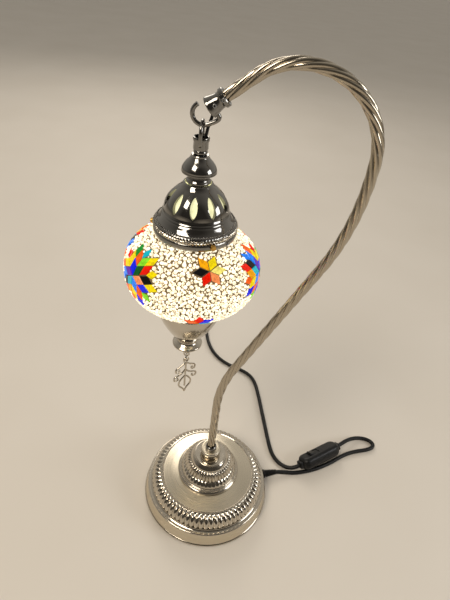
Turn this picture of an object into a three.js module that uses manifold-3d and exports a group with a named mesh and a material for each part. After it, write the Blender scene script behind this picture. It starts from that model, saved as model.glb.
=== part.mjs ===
// A swan-neck table lamp with a hanging mosaic glass shade, in millimetres, +Z up.
// The origin is the centre of the base's underside. The arm bends in the XZ plane,
// with its bow towards +X and the shade hanging on the -X side of it.
import * as THREE from 'three';
import { mergeVertices } from 'three/addons/utils/BufferGeometryUtils.js';
import Module from 'manifold-3d';

const wasm = await Module();
wasm.setup();

// ---- clearances and stock ------------------------------------------------
const GAP = 0.3; // between pieces that touch
const ROUND = 26; // sides of the large turned pieces
const SMALL_ROUND = 18; // sides of the small turned pieces
const WIRE_SIDES = 8;
const WELD = 0.00037; // vertices nearer than this are one

// ---- base ------------------------------------------------------------------
const BASE_R = 75;
const BASE_WALL = 1.5;
const RIM_LIFT = 0.6; // the rim stands clear of the table, the felt carries the lamp
const FELT_T = 1.5;
const BAND_TOP_Z = 19;
const BAND_STEP = 4.6; // how far the band leans in over its height
const GADROON_IN = 9.7; // from the rim in to the gadroon ring's outer edge
const GADROON_W = 10.3;
const SATIN_Z = 36;
const DOME_SEAT_Z = 40.2;
const WEIGHT_T = 14;
const WEIGHT_HOLE_R = 24;

// ---- centre dome, collar and the rod that clamps the base --------------------
const DOME_R = 33.5;
const DOME_TOP_R = 17.6;
const DOME_H = 32;
const DOME_WALL = 1.4;
const COLLAR_R = 11.4;
const COLLAR_H = 9.8;
const ROD_R = 4; // hollow threaded rod, M8
const ROD_BORE_R = 2.7;
const NUT_R = 7.5;
const NUT_T = 5;
const WASHER_R = 12;
const WASHER_T = 1.5;

// ---- arm ---------------------------------------------------------------------
const ARM_R = 4.4;
const ARM_BORE_R = 3.2;
const ARM_RISE = 157; // height where the arm starts to lean
const ARM_LEAN = 24; // degrees
const ARM_FOOT_BEND_R = 146;
const ARM_LEAN_LENGTH = 138;
const ARM_SHOULDER_R = 202;
const ARM_PLUMB = 7; // short upright stretch at the bow's widest point
const ARM_CROWN_R = 59.5;
const ARM_NOSE_R = 48;
const ARM_NOSE_TURN = 39; // degrees past the top
const ARM_NOSE_LENGTH = 26;
const ARM_STEP = 12;
const CABLE_STEP = 13;
const FOOT_NUT_R = 6.3;
const FOOT_NUT_H = 4.5;

// ---- arm end: ferrule, screws and hook -----------------------------------------
const FERRULE_BACK = 3; // how far the ferrule reaches back over the tube
const FERRULE_REACH = 10.5; // how far its mouth stands past the tube's end
const FERRULE_RING_R = 6.7;
const FERRULE_MOUTH_R = 7.5;
const FERRULE_WALL = 1.1;
const SET_SCREW_R = 1.3;
const HOOK_R = 7.4;
const HOOK_WIRE_R = 1.35;
const HOOK_DROP = 18.5; // from the tube's end down to the hook's lowest point
const HOOK_OUT = 12; // from the tube's end out to the hook's lowest point
const HOOK_TIP_TURN = 122; // degrees round the hook, from +X
const HOOK_HEEL_TURN = 290; // where the hook leaves its circle for the ferrule

// ---- pendant fittings ----------------------------------------------------------
const LINK_WIRE_R = 1.3;
const LINK_HALF_W = 7.6;
const LINK_DROP = 13; // from the hook's wire down to the bar through the cup
const CUP_R = 5.8;
const CUP_WALL = 1.1;
const CUP_RISE = 5.2; // the cup's lip above the link's bar
const CUP_FALL = 3.6; // the cup's foot below the bar
const STEM_RING_R = 5.2;
const BELL_R = 13;
const BELL_H = 15;
const NECK_RING_R = 8.8;
const NECK_RING_H = 5;
const SHEET_WALL = 1.2; // wall of the spun and pressed covers

// ---- pierced dome, globe and light ---------------------------------------------
const CAP_RIM_R = 33;
const CAP_H = 41;
const WINDOW_COUNT = 10;
const WINDOW_W = 6.2;
const WINDOW_H = 13.5;
const WINDOW_Z = 28; // above the cap's rim
const GLOBE_R = 56.5;
const GLOBE_HALF_H = 36;
const GLOBE_SQUARE = 2.35; // 2 is an ellipse, more is squarer
const GLASS_T = 4; // blown glass with its mosaic
const NECK_CLEAR = 2.6; // between the glass neck and the cap's rim
const NECK_H = 8; // how far the glass neck reaches up into the cap
const SHOULDER_DROP = 2.5; // from the cap's rim down to the glass shoulder
const FOOT_HOLE_R = 26;
const FIXING_SCREWS = 3;
const FIXING_SCREW_R = 1.3;
const FIXING_HEAD_R = 2.4;
const HOLDER_R = 13.5;
const HOLDER_H = 42;
const HOLDER_RING_R = 16.5;
const BULB_CAP_R = 6.8;
const BULB_R = 17.5;
const BULB_BELOW = 41; // how far the bulb stands below the holder

// ---- bottom cap and charm --------------------------------------------------------
const BOWL_RIM_R = 30.5;
const BOWL_H = 46;
const BOWL_NECK_R = 10;
const FOOT_RING_R = 13.9;
const FOOT_RING_H = 8;
const BOSS_R = 7.7;
const BOSS_H = 17.5;
const BOLT_R = 2;
const EYE_R = 2.6;
const EYE_WIRE_R = 0.7;
const RING_R = 3.2;
const RING_WIRE_R = 0.65;
const CHARM_W = 24;
const CHARM_H = 38;
const CHARM_T = 1.4;
const CHARM_TURN = 35; // degrees about its own upright axis

// ---- mains lead, switch and plug ---------------------------------------------------
const CORD_R = 2.6;
const CORD_SIDES = 8;
const CORD_BORE_R = CORD_R + 0.55; // holes the cord passes through
const CORD_STEP = 11;
const CABLE_R = 1.3; // the thin two-core cable inside the arm
const EXIT_TURN = 17.8; // degrees from +X to where the lead leaves the rim
const EXIT_Z = 6.5;
const RELIEF_R = 4;
const RELIEF_OUT = 15;
const SWITCH_L = 61;
const SWITCH_W = 21;
const SWITCH_H = 16;
const SWITCH_TURN = 34.6; // degrees from +X
const SWITCH_LEAN = -32; // degrees about its own length, its rocker turned to the back
const SWITCH_AT = new THREE.Vector3(146.5, 58.5, 11.2);
const ROCKER_L = 15;
const ROCKER_W = 8;
const ROCKER_LIFT = 3.2;
const ROCKER_FROM_MIDDLE = -9;
const GRIP_FROM_END = 11.2; // the cord grips' middles, clear of the rocker's swing
const COIL_R = 29; // at the middle of its turns
const COIL_HALF_W = 8.2; // the bundle of turns, across and upright
const COIL_HALF_H = 7.3;
const COIL_AT = new THREE.Vector3(-72, 408, 0);
const COIL_LEAVE_R = 21; // bend of the last cord from the coil into the plug
const PLUG_L = 36;
const PLUG_W = 26;
const PLUG_H = 12;
const PIN_L = 19;
const PIN_R = 2;
const PIN_SPREAD = 9.5;

const RAD = Math.PI / 180;
const lamp = new THREE.Group();

// ---- materials -----------------------------------------------------------------------
function finish(color, roughness, metalness) {
  return () => new THREE.MeshStandardMaterial({ color, roughness, metalness });
}
const nickel = finish(0xb9b4a8, 0.22, 1);
const satinNickel = finish(0xcfc6b4, 0.38, 1);
const darkNickel = finish(0x6d6a66, 0.18, 1);
const brass = finish(0xb48a4a, 0.35, 1);
const castIron = finish(0x4a4a4c, 0.7, 0.6);
const zincSteel = finish(0x9a9c9f, 0.4, 0.9);
const felt = finish(0x23332a, 0.95, 0);
const blackPvc = finish(0x141414, 0.5, 0);
const blackResin = finish(0x1a1a1b, 0.4, 0);
const whitePlastic = finish(0xe6e2d6, 0.5, 0);
const frostedGlass = finish(0xfff3d8, 0.3, 0);
const mosaicGlass = finish(0xf4ead2, 0.35, 0);

// ---- shapes ------------------------------------------------------------------------
// Makes one closed body of a geometry, with its faces pointing out.
function closed(geometry) {
  const bare = geometry.clone();
  bare.deleteAttribute('normal');
  bare.deleteAttribute('uv');
  const merged = mergeVertices(bare, WELD);
  const at = merged.attributes.position;
  const order = Array.from(merged.index.array);
  const faces = [];
  const corners = [new THREE.Vector3(), new THREE.Vector3(), new THREE.Vector3()];
  let volume = 0;
  for (let i = 0; i < order.length; i += 3) {
    const [a, b, c] = order.slice(i, i + 3);
    if (a === b || b === c || c === a) continue;
    faces.push([a, b, c]);
    corners.forEach((corner, k) => corner.fromBufferAttribute(at, [a, b, c][k]));
    volume += corners[0].dot(corners[1].clone().cross(corners[2]));
  }
  merged.setIndex(faces.flatMap(([a, b, c]) => (volume > 0 ? [a, b, c] : [a, c, b])));
  return merged;
}

function manifoldOf(geometry) {
  const body = closed(geometry);
  return new wasm.Manifold(new wasm.Mesh({
    numProp: 3,
    vertProperties: new Float32Array(body.attributes.position.array),
    triVerts: new Uint32Array(body.index.array),
  }));
}

function geometryOf(manifold) {
  const mesh = manifold.getMesh();
  const geometry = new THREE.BufferGeometry();
  geometry.setAttribute('position', new THREE.BufferAttribute(new Float32Array(mesh.vertProperties), 3));
  geometry.setIndex(Array.from(mesh.triVerts));
  return geometry;
}

function without(geometry, ...cutters) {
  const whole = manifoldOf(geometry);
  return geometryOf(cutters.reduce((left, cutter) => left.subtract(manifoldOf(cutter)), whole));
}

function joined(geometry, ...others) {
  return geometryOf(others.reduce((left, other) => left.add(manifoldOf(other)), manifoldOf(geometry)));
}

// Turns an outline of [radius, height] points about Z.
function turned(outline, sides = SMALL_ROUND) {
  const points = outline.map(([r, z]) => new THREE.Vector2(Math.max(r, 0), z));
  const open = points[0].x > 0 || points[points.length - 1].x > 0;
  if (open) points.push(points[0].clone());
  return new THREE.LatheGeometry(points, sides).rotateX(Math.PI / 2);
}

// Moves an outline sideways by a distance, to the right of its own direction.
function offset(outline, distance) {
  const points = outline.map(([r, z]) => new THREE.Vector2(r, z));
  return points.map((point, i) => {
    const before = i > 0 ? point.clone().sub(points[i - 1]).normalize() : null;
    const after = i < points.length - 1 ? points[i + 1].clone().sub(point).normalize() : null;
    const along = (before ?? after).clone().add(after ?? before).normalize();
    const side = new THREE.Vector2(along.y, -along.x);
    const lean = before && after ? Math.max(along.dot(before), 0.6) : 1;
    return [point.x + (side.x * distance) / lean, point.y + (side.y * distance) / lean];
  });
}

// A spun cover: the outline is its outer face, and the wall grows to the outline's right.
function spun(outline, wall, sides = ROUND) {
  return turned([...outline, ...offset(outline, wall).reverse()], sides);
}

function tubeRing(outer, inner, low, high, sides = SMALL_ROUND) {
  return turned([[inner, low], [outer, low], [outer, high], [inner, high]], sides);
}

function disc(r, low, high, sides = SMALL_ROUND) {
  return turned([[0, low], [r, low], [r, high], [0, high]], sides);
}

// Draws an ellipse of straight sides; a hole is drawn the other way round.
function ellipse(path, x, y, wide, high, sides) {
  const way = path.type === 'Shape' ? 1 : -1;
  for (let i = 0; i < sides; i += 1) {
    const turn = ((way * i) / sides) * Math.PI * 2;
    const point = [x + wide * Math.cos(turn), y + high * Math.sin(turn)];
    if (i === 0) path.moveTo(...point);
    else path.lineTo(...point);
  }
  path.closePath();
  return path;
}

function circle(r, sides, holeR = 0) {
  const shape = ellipse(new THREE.Shape(), 0, 0, r, r, sides);
  if (holeR > 0) shape.holes.push(ellipse(new THREE.Path(), 0, 0, holeR, holeR, sides));
  return shape;
}

// A round tube along a curve, with a step about every `step` millimetres.
function along(curve, r, step, sides = WIRE_SIDES, holeR = 0) {
  const steps = Math.max(4, Math.round(curve.getLength() / step));
  return new THREE.ExtrudeGeometry(circle(r, sides, holeR), { steps, extrudePath: curve });
}

function through(points) {
  const places = points.map((point) => (point.isVector3 ? point : new THREE.Vector3(...point)));
  return new THREE.CatmullRomCurve3(places, false, 'centripetal');
}

// Points of an arc in the XZ plane, angles in degrees from +X towards +Z.
function arc(centreX, centreZ, r, from, to, every = 9) {
  const count = Math.max(2, Math.ceil(Math.abs(to - from) / every));
  return Array.from({ length: count + 1 }, (_, i) => {
    const turn = (from + ((to - from) * i) / count) * RAD;
    return new THREE.Vector3(centreX + r * Math.cos(turn), 0, centreZ + r * Math.sin(turn));
  });
}

function place(name, geometry, material, x = 0, y = 0, z = 0) {
  const mesh = new THREE.Mesh(closed(geometry), material());
  mesh.name = name;
  mesh.position.set(x, y, z);
  lamp.add(mesh);
  return mesh;
}

// ---- base --------------------------------------------------------------------------
const domeSeatR = DOME_R + 3.3;
const rodHoleR = ROD_R + GAP;
const gadroonOut = BASE_R - GADROON_IN;
const satinOut = gadroonOut - GADROON_W;
const exitDirection = new THREE.Vector3(Math.cos(EXIT_TURN * RAD), Math.sin(EXIT_TURN * RAD), 0);
const baseOutline = [
  [rodHoleR, DOME_SEAT_Z],
  [domeSeatR, DOME_SEAT_Z],
  [(domeSeatR + satinOut) / 2, DOME_SEAT_Z - 1.3],
  [satinOut, SATIN_Z],
  [satinOut + 1.2, SATIN_Z - 0.4],
  [satinOut + GADROON_W * 0.5, SATIN_Z - 2.6],
  [gadroonOut - 1.7, SATIN_Z - 6.6],
  [gadroonOut, BAND_TOP_Z + 5.4],
  [gadroonOut + 0.3, BAND_TOP_Z + 3],
  [BASE_R - BAND_STEP - 2.2, BAND_TOP_Z + 2],
  [BASE_R - BAND_STEP, BAND_TOP_Z],
  [BASE_R - BAND_STEP + 0.3, BAND_TOP_Z - 4],
  [BASE_R - BAND_STEP + 1.4, BAND_TOP_Z - 9],
  [BASE_R - 1.2, BAND_TOP_Z - 13],
  [BASE_R, BAND_TOP_Z - 15.5],
  [BASE_R, RIM_LIFT],
];

// A cylinder that lies along the lead's way out, from one radius to another.
function outward(r, from, to, endR = r) {
  return new THREE.CylinderGeometry(endR, r, to - from, 16)
    .rotateZ(-Math.PI / 2)
    .translate((from + to) / 2, 0, EXIT_Z)
    .rotateZ(EXIT_TURN * RAD);
}

function baseShell() {
  return without(spun(baseOutline, BASE_WALL, 30), outward(RELIEF_R + GAP, BASE_R - 12, BASE_R + 5));
}

const weightR = BASE_R - BAND_STEP - BASE_WALL - 1.5;
const weightLow = FELT_T + GAP;

function baseWeight() {
  const ring = tubeRing(weightR, WEIGHT_HOLE_R, weightLow, weightLow + WEIGHT_T, ROUND);
  const slotLength = BASE_R;
  const slot = new THREE.BoxGeometry(slotLength, 2 * RELIEF_R + 2, 2 * RELIEF_R + 2)
    .translate(slotLength / 2 + WEIGHT_HOLE_R / 2, 0, EXIT_Z)
    .rotateZ(EXIT_TURN * RAD);
  return without(ring, slot);
}

place('felt_pad', disc(weightR, 0, FELT_T, ROUND), felt);
place('base_weight', baseWeight(), castIron);
place('base_shell', baseShell(), satinNickel);

const underSeat = DOME_SEAT_Z - BASE_WALL - GAP;
place('base_washer', tubeRing(WASHER_R, rodHoleR, underSeat - WASHER_T, underSeat), zincSteel);
const nutTop = underSeat - WASHER_T - GAP;
function hexNut(top) {
  const outline = ellipse(new THREE.Shape(), 0, 0, NUT_R, NUT_R, 6);
  outline.holes.push(ellipse(new THREE.Path(), 0, 0, rodHoleR, rodHoleR, 16));
  return new THREE.ExtrudeGeometry(outline, { depth: NUT_T, bevelEnabled: false })
    .translate(0, 0, top - NUT_T);
}
place('base_locknut', hexNut(nutTop), zincSteel);

// ---- centre dome and collar ------------------------------------------------------------
const domeLow = DOME_SEAT_Z + GAP;
const domeTop = domeLow + DOME_H;
const domeOutline = [
  [rodHoleR, domeTop],
  [DOME_TOP_R - 1.4, domeTop],
  [DOME_TOP_R, domeTop - 1.4],
  [DOME_TOP_R - 0.4, domeTop - 3.4],
  [DOME_TOP_R + (DOME_R - DOME_TOP_R) * 0.27, domeTop - DOME_H * 0.22],
  [DOME_TOP_R + (DOME_R - DOME_TOP_R) * 0.58, domeTop - DOME_H * 0.42],
  [DOME_TOP_R + (DOME_R - DOME_TOP_R) * 0.84, domeTop - DOME_H * 0.64],
  [DOME_R - 0.6, domeTop - DOME_H * 0.82],
  [DOME_R + 0.9, domeTop - DOME_H * 0.9],
  [DOME_R + 2.4, domeLow + 1.2],
  [DOME_R + 2.4, domeLow],
];
place('centre_dome', spun(domeOutline, DOME_WALL), nickel);

const collarLow = domeTop + GAP;
const collarTop = collarLow + COLLAR_H;
const footHoleR = Math.max(ARM_R, ROD_R) + GAP;
place('dome_collar', turned([
  [footHoleR, collarLow],
  [COLLAR_R - 1.6, collarLow],
  [COLLAR_R, collarLow + 1.8],
  [COLLAR_R, collarTop - 1.2],
  [COLLAR_R - 1, collarTop],
  [footHoleR, collarTop],
]), satinNickel);

const rodTop = collarLow + COLLAR_H * 0.45;
const rodLow = nutTop - NUT_T - 4;
place('base_rod', tubeRing(ROD_R, ROD_BORE_R, rodLow, rodTop, 16), zincSteel);
const armFootZ = rodTop + GAP;
place('arm_foot_nut', turned([
  [footHoleR, collarTop + GAP],
  [FOOT_NUT_R, collarTop + GAP],
  [FOOT_NUT_R, collarTop + GAP + FOOT_NUT_H * 0.6],
  [FOOT_NUT_R - 1, collarTop + GAP + FOOT_NUT_H],
  [footHoleR, collarTop + GAP + FOOT_NUT_H],
], 12), darkNickel);

// ---- arm ----------------------------------------------------------------------------
// The arm's centreline runs up from its foot, leans out, comes plumb at its widest
// point, and goes over the crown to a straight nose that points down and inwards.
const lean = ARM_LEAN * RAD;
const footBendX = ARM_FOOT_BEND_R * (1 - Math.cos(lean));
const leanTopX = footBendX + ARM_LEAN_LENGTH * Math.sin(lean);
const leanTopZ = ARM_RISE + ARM_FOOT_BEND_R * Math.sin(lean) + ARM_LEAN_LENGTH * Math.cos(lean);
const bowX = leanTopX + ARM_SHOULDER_R * (1 - Math.cos(lean));
const plumbZ = leanTopZ + ARM_SHOULDER_R * Math.sin(lean);
const crownZ = plumbZ + ARM_PLUMB;
const crownX = bowX - ARM_CROWN_R;
const crownTopZ = crownZ + ARM_CROWN_R;
const noseTurn = 90 + ARM_NOSE_TURN;
const noseWay = new THREE.Vector3(-Math.sin(noseTurn * RAD), 0, Math.cos(noseTurn * RAD));
const noseArc = arc(crownX, crownTopZ - ARM_NOSE_R, ARM_NOSE_R, 90, noseTurn);
const noseFrom = noseArc[noseArc.length - 1];
const armEnd = noseFrom.clone().addScaledVector(noseWay, ARM_NOSE_LENGTH);

const armCurve = new THREE.CurvePath();
function addBend(points) {
  armCurve.add(through(points));
}
armCurve.add(new THREE.LineCurve3(new THREE.Vector3(0, 0, armFootZ), new THREE.Vector3(0, 0, ARM_RISE)));
addBend(arc(ARM_FOOT_BEND_R, ARM_RISE, ARM_FOOT_BEND_R, 180, 180 - ARM_LEAN, 4));
armCurve.add(new THREE.LineCurve3(
  new THREE.Vector3(footBendX, 0, ARM_RISE + ARM_FOOT_BEND_R * Math.sin(lean)),
  new THREE.Vector3(leanTopX, 0, leanTopZ),
));
addBend(arc(bowX - ARM_SHOULDER_R, plumbZ, ARM_SHOULDER_R, -ARM_LEAN, 0, 4));
armCurve.add(new THREE.LineCurve3(new THREE.Vector3(bowX, 0, plumbZ), new THREE.Vector3(bowX, 0, crownZ)));
addBend(arc(crownX, crownZ, ARM_CROWN_R, 0, 90));
addBend(noseArc);
armCurve.add(new THREE.LineCurve3(noseFrom, armEnd));
place('arm_tube', along(armCurve, ARM_R, ARM_STEP, 10, ARM_BORE_R), nickel);

// ---- ferrule, set screws and hook -------------------------------------------------------
// Turns a piece that was made upright round the tube's axis into its place at the arm's end.
const noseTilt = new THREE.Quaternion().setFromUnitVectors(new THREE.Vector3(0, 0, 1), noseWay);
function onNose(geometry) {
  return geometry.applyQuaternion(noseTilt).translate(armEnd.x, armEnd.y, armEnd.z);
}

const ferruleBore = ARM_R + GAP;
const mouthBore = FERRULE_MOUTH_R - FERRULE_WALL;
const ferruleOutline = [
  [ferruleBore, -FERRULE_BACK],
  [FERRULE_RING_R, -FERRULE_BACK],
  [FERRULE_RING_R, 0],
  [ferruleBore + FERRULE_WALL, 1.2],
  [ferruleBore + FERRULE_WALL, 3],
  [FERRULE_MOUTH_R - 1.2, FERRULE_REACH * 0.6],
  [FERRULE_MOUTH_R, FERRULE_REACH],
  [mouthBore, FERRULE_REACH],
  [ferruleBore, FERRULE_REACH * 0.45],
];
// The nose's underside faces down and back towards the arm.
const under = new THREE.Vector3(-noseWay.z, 0, noseWay.x);
const hookAxisX = armEnd.x - HOOK_OUT;
const hookLowZ = armEnd.z - HOOK_DROP;
const hookCentreZ = hookLowZ + HOOK_R;
const hookHoleAt = FERRULE_REACH * 0.76;
const hookHole = armEnd.clone().addScaledVector(noseWay, hookHoleAt);
const hookEntry = hookHole.clone().addScaledVector(under, FERRULE_MOUTH_R - 0.3);
const hookRoot = hookHole.clone().addScaledVector(under, mouthBore - 0.6);
const hookArc = arc(hookAxisX, hookCentreZ, HOOK_R, HOOK_TIP_TURN, HOOK_HEEL_TURN, 15);
const hookHeel = hookArc[hookArc.length - 1];
const heelWay = new THREE.Vector3(-Math.sin(HOOK_HEEL_TURN * RAD), 0, Math.cos(HOOK_HEEL_TURN * RAD));
const hookRise = new THREE.CubicBezierCurve3(
  hookHeel,
  hookHeel.clone().addScaledVector(heelWay, 5),
  hookEntry.clone().addScaledVector(under, 4.6),
  hookEntry,
);
const hookCurve = through([...hookArc, ...hookRise.getPoints(5).slice(1), hookRoot]);

// A cylinder that lies across the nose, pointing to the camera side of the lamp.
function acrossNose(r, from, to, at, sides = 12) {
  return onNose(new THREE.CylinderGeometry(r, r, to - from, sides).translate(0, -(from + to) / 2, at));
}
const clampScrewAt = -FERRULE_BACK / 2;

function ferrule() {
  const hookBore = new THREE.CylinderGeometry(HOOK_WIRE_R + GAP, HOOK_WIRE_R + GAP, 8, 12)
    .applyQuaternion(new THREE.Quaternion().setFromUnitVectors(new THREE.Vector3(0, 1, 0), under))
    .translate(hookRoot.x + under.x * 2, 0, hookRoot.z + under.z * 2);
  const screwHole = acrossNose(SET_SCREW_R + GAP, ARM_R - 0.5, FERRULE_RING_R + 2, clampScrewAt);
  return without(onNose(turned(ferruleOutline)), hookBore, screwHole);
}
place('arm_ferrule', ferrule(), darkNickel);
const setScrewOut = FERRULE_RING_R - 0.4;
place('ferrule_screw', acrossNose(SET_SCREW_R, ARM_R + GAP, setScrewOut, clampScrewAt, 8), zincSteel);
place('hook', along(hookCurve, HOOK_WIRE_R, 3.2), nickel);

// ---- link and cup --------------------------------------------------------------------
// A split wire ring rides on the hook and passes through two holes in the cup.
const barZ = hookLowZ - LINK_DROP;
const linkTopZ = hookLowZ + HOOK_WIRE_R + LINK_WIRE_R + GAP;
const linkArcZ = linkTopZ - LINK_HALF_W;
const cornerR = 2.5;

function linkCurve() {
  const points = [];
  const corner = (side) => [90, 60, 30, 0].map((turn) => new THREE.Vector3(
    0,
    side * (LINK_HALF_W - cornerR + cornerR * Math.cos(turn * RAD)),
    cornerR - cornerR * Math.sin(turn * RAD) + barZ,
  ));
  points.push(new THREE.Vector3(0, GAP, barZ), ...corner(1));
  for (let turn = 0; turn <= 180; turn += 22.5) {
    const [across, up] = [Math.cos(turn * RAD), Math.sin(turn * RAD)];
    points.push(new THREE.Vector3(0, LINK_HALF_W * across, linkArcZ + LINK_HALF_W * up));
  }
  points.push(...corner(-1).reverse(), new THREE.Vector3(0, -GAP, barZ));
  return through(points);
}
place('link_ring', along(linkCurve(), LINK_WIRE_R, 2.2), nickel, hookAxisX);

const cupTop = barZ + CUP_RISE;
const cupLow = barZ - CUP_FALL;
const rodIn = 4; // how far the pendant's rod reaches up into the cup's foot

function hangerCup() {
  const cup = turned([
    [rodHoleR, cupLow],
    [CUP_R - 0.5, cupLow],
    [CUP_R - 0.3, cupTop - 2.8],
    [CUP_R, cupTop - 2.4],
    [CUP_R, cupTop],
    [CUP_R - CUP_WALL, cupTop],
    [CUP_R - CUP_WALL, cupLow + 1],
    [rodHoleR, cupLow + 1],
  ]);
  const holeR = LINK_WIRE_R + GAP;
  const hole = new THREE.CylinderGeometry(holeR, holeR, 4 * CUP_R, 12).translate(0, 0, barZ);
  return without(cup, hole);
}
place('hanger_cup', hangerCup(), darkNickel, hookAxisX);

// ---- pendant stem, bell and neck --------------------------------------------------------
const stemRingH = 3;
const stemRingTop = cupLow - GAP;
const bellTop = stemRingTop - stemRingH - GAP;
const bellLow = bellTop - BELL_H;
const neckTop = bellLow - GAP;
const capTop = neckTop - NECK_RING_H - GAP;
const stemRingR = Math.max(STEM_RING_R, rodHoleR + 0.85);
place('stem_ring', turned([
  [rodHoleR, stemRingTop - stemRingH],
  [stemRingR - 0.7, stemRingTop - stemRingH],
  [stemRingR, stemRingTop - stemRingH / 2],
  [stemRingR - 0.7, stemRingTop],
  [rodHoleR, stemRingTop],
]), darkNickel, hookAxisX);
place('upper_bell', spun([
  [rodHoleR, bellTop],
  [stemRingR + 1, bellTop],
  [stemRingR + 2.2, bellTop - BELL_H * 0.2],
  [BELL_R - 1.6, bellTop - BELL_H * 0.46],
  [BELL_R, bellTop - BELL_H * 0.68],
  [BELL_R - 1.2, bellTop - BELL_H * 0.86],
  [NECK_RING_R + 0.4, bellLow],
], SHEET_WALL, 24), darkNickel, hookAxisX);
place('neck_ring', turned([
  [rodHoleR, neckTop - NECK_RING_H],
  [NECK_RING_R + 0.6, neckTop - NECK_RING_H],
  [NECK_RING_R, neckTop - NECK_RING_H * 0.6],
  [NECK_RING_R - 1, neckTop - NECK_RING_H * 0.3],
  [NECK_RING_R - 0.3, neckTop],
  [rodHoleR, neckTop],
]), darkNickel, hookAxisX);

// ---- pierced dome ---------------------------------------------------------------------
const capLow = capTop - CAP_H;
const capOutline = [
  [rodHoleR, capTop],
  [NECK_RING_R + 1, capTop],
  [CAP_RIM_R * 0.4, capTop - CAP_H * 0.09],
  [CAP_RIM_R * 0.53, capTop - CAP_H * 0.19],
  [CAP_RIM_R * 0.63, capTop - CAP_H * 0.3],
  [CAP_RIM_R * 0.71, capTop - CAP_H * 0.44],
  [CAP_RIM_R * 0.79, capTop - CAP_H * 0.58],
  [CAP_RIM_R * 0.87, capTop - CAP_H * 0.7],
  [CAP_RIM_R * 0.96, capTop - CAP_H * 0.8],
  [CAP_RIM_R, capTop - CAP_H * 0.86],
  [CAP_RIM_R, capLow],
];

// A pointed oval, cut straight through the dome's wall.
function windowCutter(turn) {
  const shape = new THREE.Shape();
  shape.moveTo(0, -WINDOW_H / 2);
  shape.quadraticCurveTo(WINDOW_W, 0, 0, WINDOW_H / 2);
  shape.quadraticCurveTo(-WINDOW_W, 0, 0, -WINDOW_H / 2);
  return new THREE.ExtrudeGeometry(shape, { depth: CAP_RIM_R, bevelEnabled: false, curveSegments: 3 })
    .rotateX(Math.PI / 2)
    .translate(0, -HOLDER_R / 2, capLow + WINDOW_Z)
    .rotateZ(turn);
}

const screwZ = capLow + NECK_H * 0.5;
function radial(geometry, turn) {
  return geometry.rotateZ(-Math.PI / 2).translate(0, 0, screwZ).rotateZ(turn);
}
function screwTurn(i) {
  return Math.PI + (i * 2 * Math.PI) / FIXING_SCREWS;
}

function piercedDome() {
  const cutters = [];
  for (let i = 0; i < WINDOW_COUNT; i += 1) {
    cutters.push(windowCutter(((i + 0.5) * 2 * Math.PI) / WINDOW_COUNT));
  }
  for (let i = 0; i < FIXING_SCREWS; i += 1) {
    const hole = new THREE.CylinderGeometry(FIXING_SCREW_R + GAP, FIXING_SCREW_R + GAP, 10, 10);
    cutters.push(radial(hole.translate(0, CAP_RIM_R, 0), screwTurn(i)));
  }
  return without(spun(capOutline, SHEET_WALL), ...cutters);
}
place('pierced_dome', piercedDome(), darkNickel, hookAxisX);

const neckR = CAP_RIM_R - SHEET_WALL - NECK_CLEAR;
for (let i = 0; i < FIXING_SCREWS; i += 1) {
  const shankFrom = neckR + 0.8 + GAP;
  const headFrom = CAP_RIM_R + GAP;
  const screw = joined(
    new THREE.CylinderGeometry(FIXING_SCREW_R, FIXING_SCREW_R, headFrom + 0.4 - shankFrom, 10)
      .translate(0, (shankFrom + headFrom + 0.4) / 2, 0),
    new THREE.CylinderGeometry(FIXING_HEAD_R - 0.5, FIXING_HEAD_R, 1.9, 12).translate(0, headFrom + 0.95, 0),
  );
  place(`globe_screw_${i + 1}`, radial(screw, screwTurn(i)), brass, hookAxisX);
}

// ---- globe ------------------------------------------------------------------------------
const globeZ = capLow - SHOULDER_DROP - globeHeightAt(GLOBE_R, GLOBE_HALF_H, neckR + 2);

// Height of the globe's surface above its middle, at a radius.
function globeHeightAt(wide, high, r) {
  return high * (1 - (r / wide) ** GLOBE_SQUARE) ** (1 / GLOBE_SQUARE);
}
// Points of the globe's side from one height share to another, as [radius, height].
function globeSide(wide, high, low, top, count) {
  return Array.from({ length: count + 1 }, (_, i) => {
    const z = low + ((top - low) * i) / count;
    const squeezed = Math.sin(((z / high) * Math.PI) / 2) * high;
    return [wide * (1 - Math.abs(squeezed / high) ** GLOBE_SQUARE) ** (1 / GLOBE_SQUARE), globeZ + squeezed];
  });
}
function spreadOf(high, z) {
  return (Math.asin(z / high) * 2 * high) / Math.PI;
}

function globe() {
  const topZ = globeHeightAt(GLOBE_R, GLOBE_HALF_H, neckR + 2);
  const lowZ = -globeHeightAt(GLOBE_R, GLOBE_HALF_H, FOOT_HOLE_R);
  const wide = GLOBE_R - GLASS_T;
  const high = GLOBE_HALF_H - GLASS_T;
  const innerTop = globeHeightAt(wide, high, neckR - 2.4);
  const innerLow = -globeHeightAt(wide, high, FOOT_HOLE_R);
  const neckTopZ = capLow + NECK_H;
  const lowSpread = spreadOf(GLOBE_HALF_H, lowZ);
  const outer = globeSide(GLOBE_R, GLOBE_HALF_H, lowSpread, spreadOf(GLOBE_HALF_H, topZ), 10);
  const inner = globeSide(wide, high, spreadOf(high, innerLow), spreadOf(high, innerTop), 8);
  return turned([
    ...outer,
    [neckR, capLow + 1.6],
    [neckR, neckTopZ - 1.4],
    [neckR + 0.8, neckTopZ - 0.7],
    [neckR, neckTopZ],
    [neckR - 2.4, neckTopZ],
    ...inner.reverse(),
  ], ROUND);
}
place('globe_glass', globe(), mosaicGlass, hookAxisX);

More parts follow.
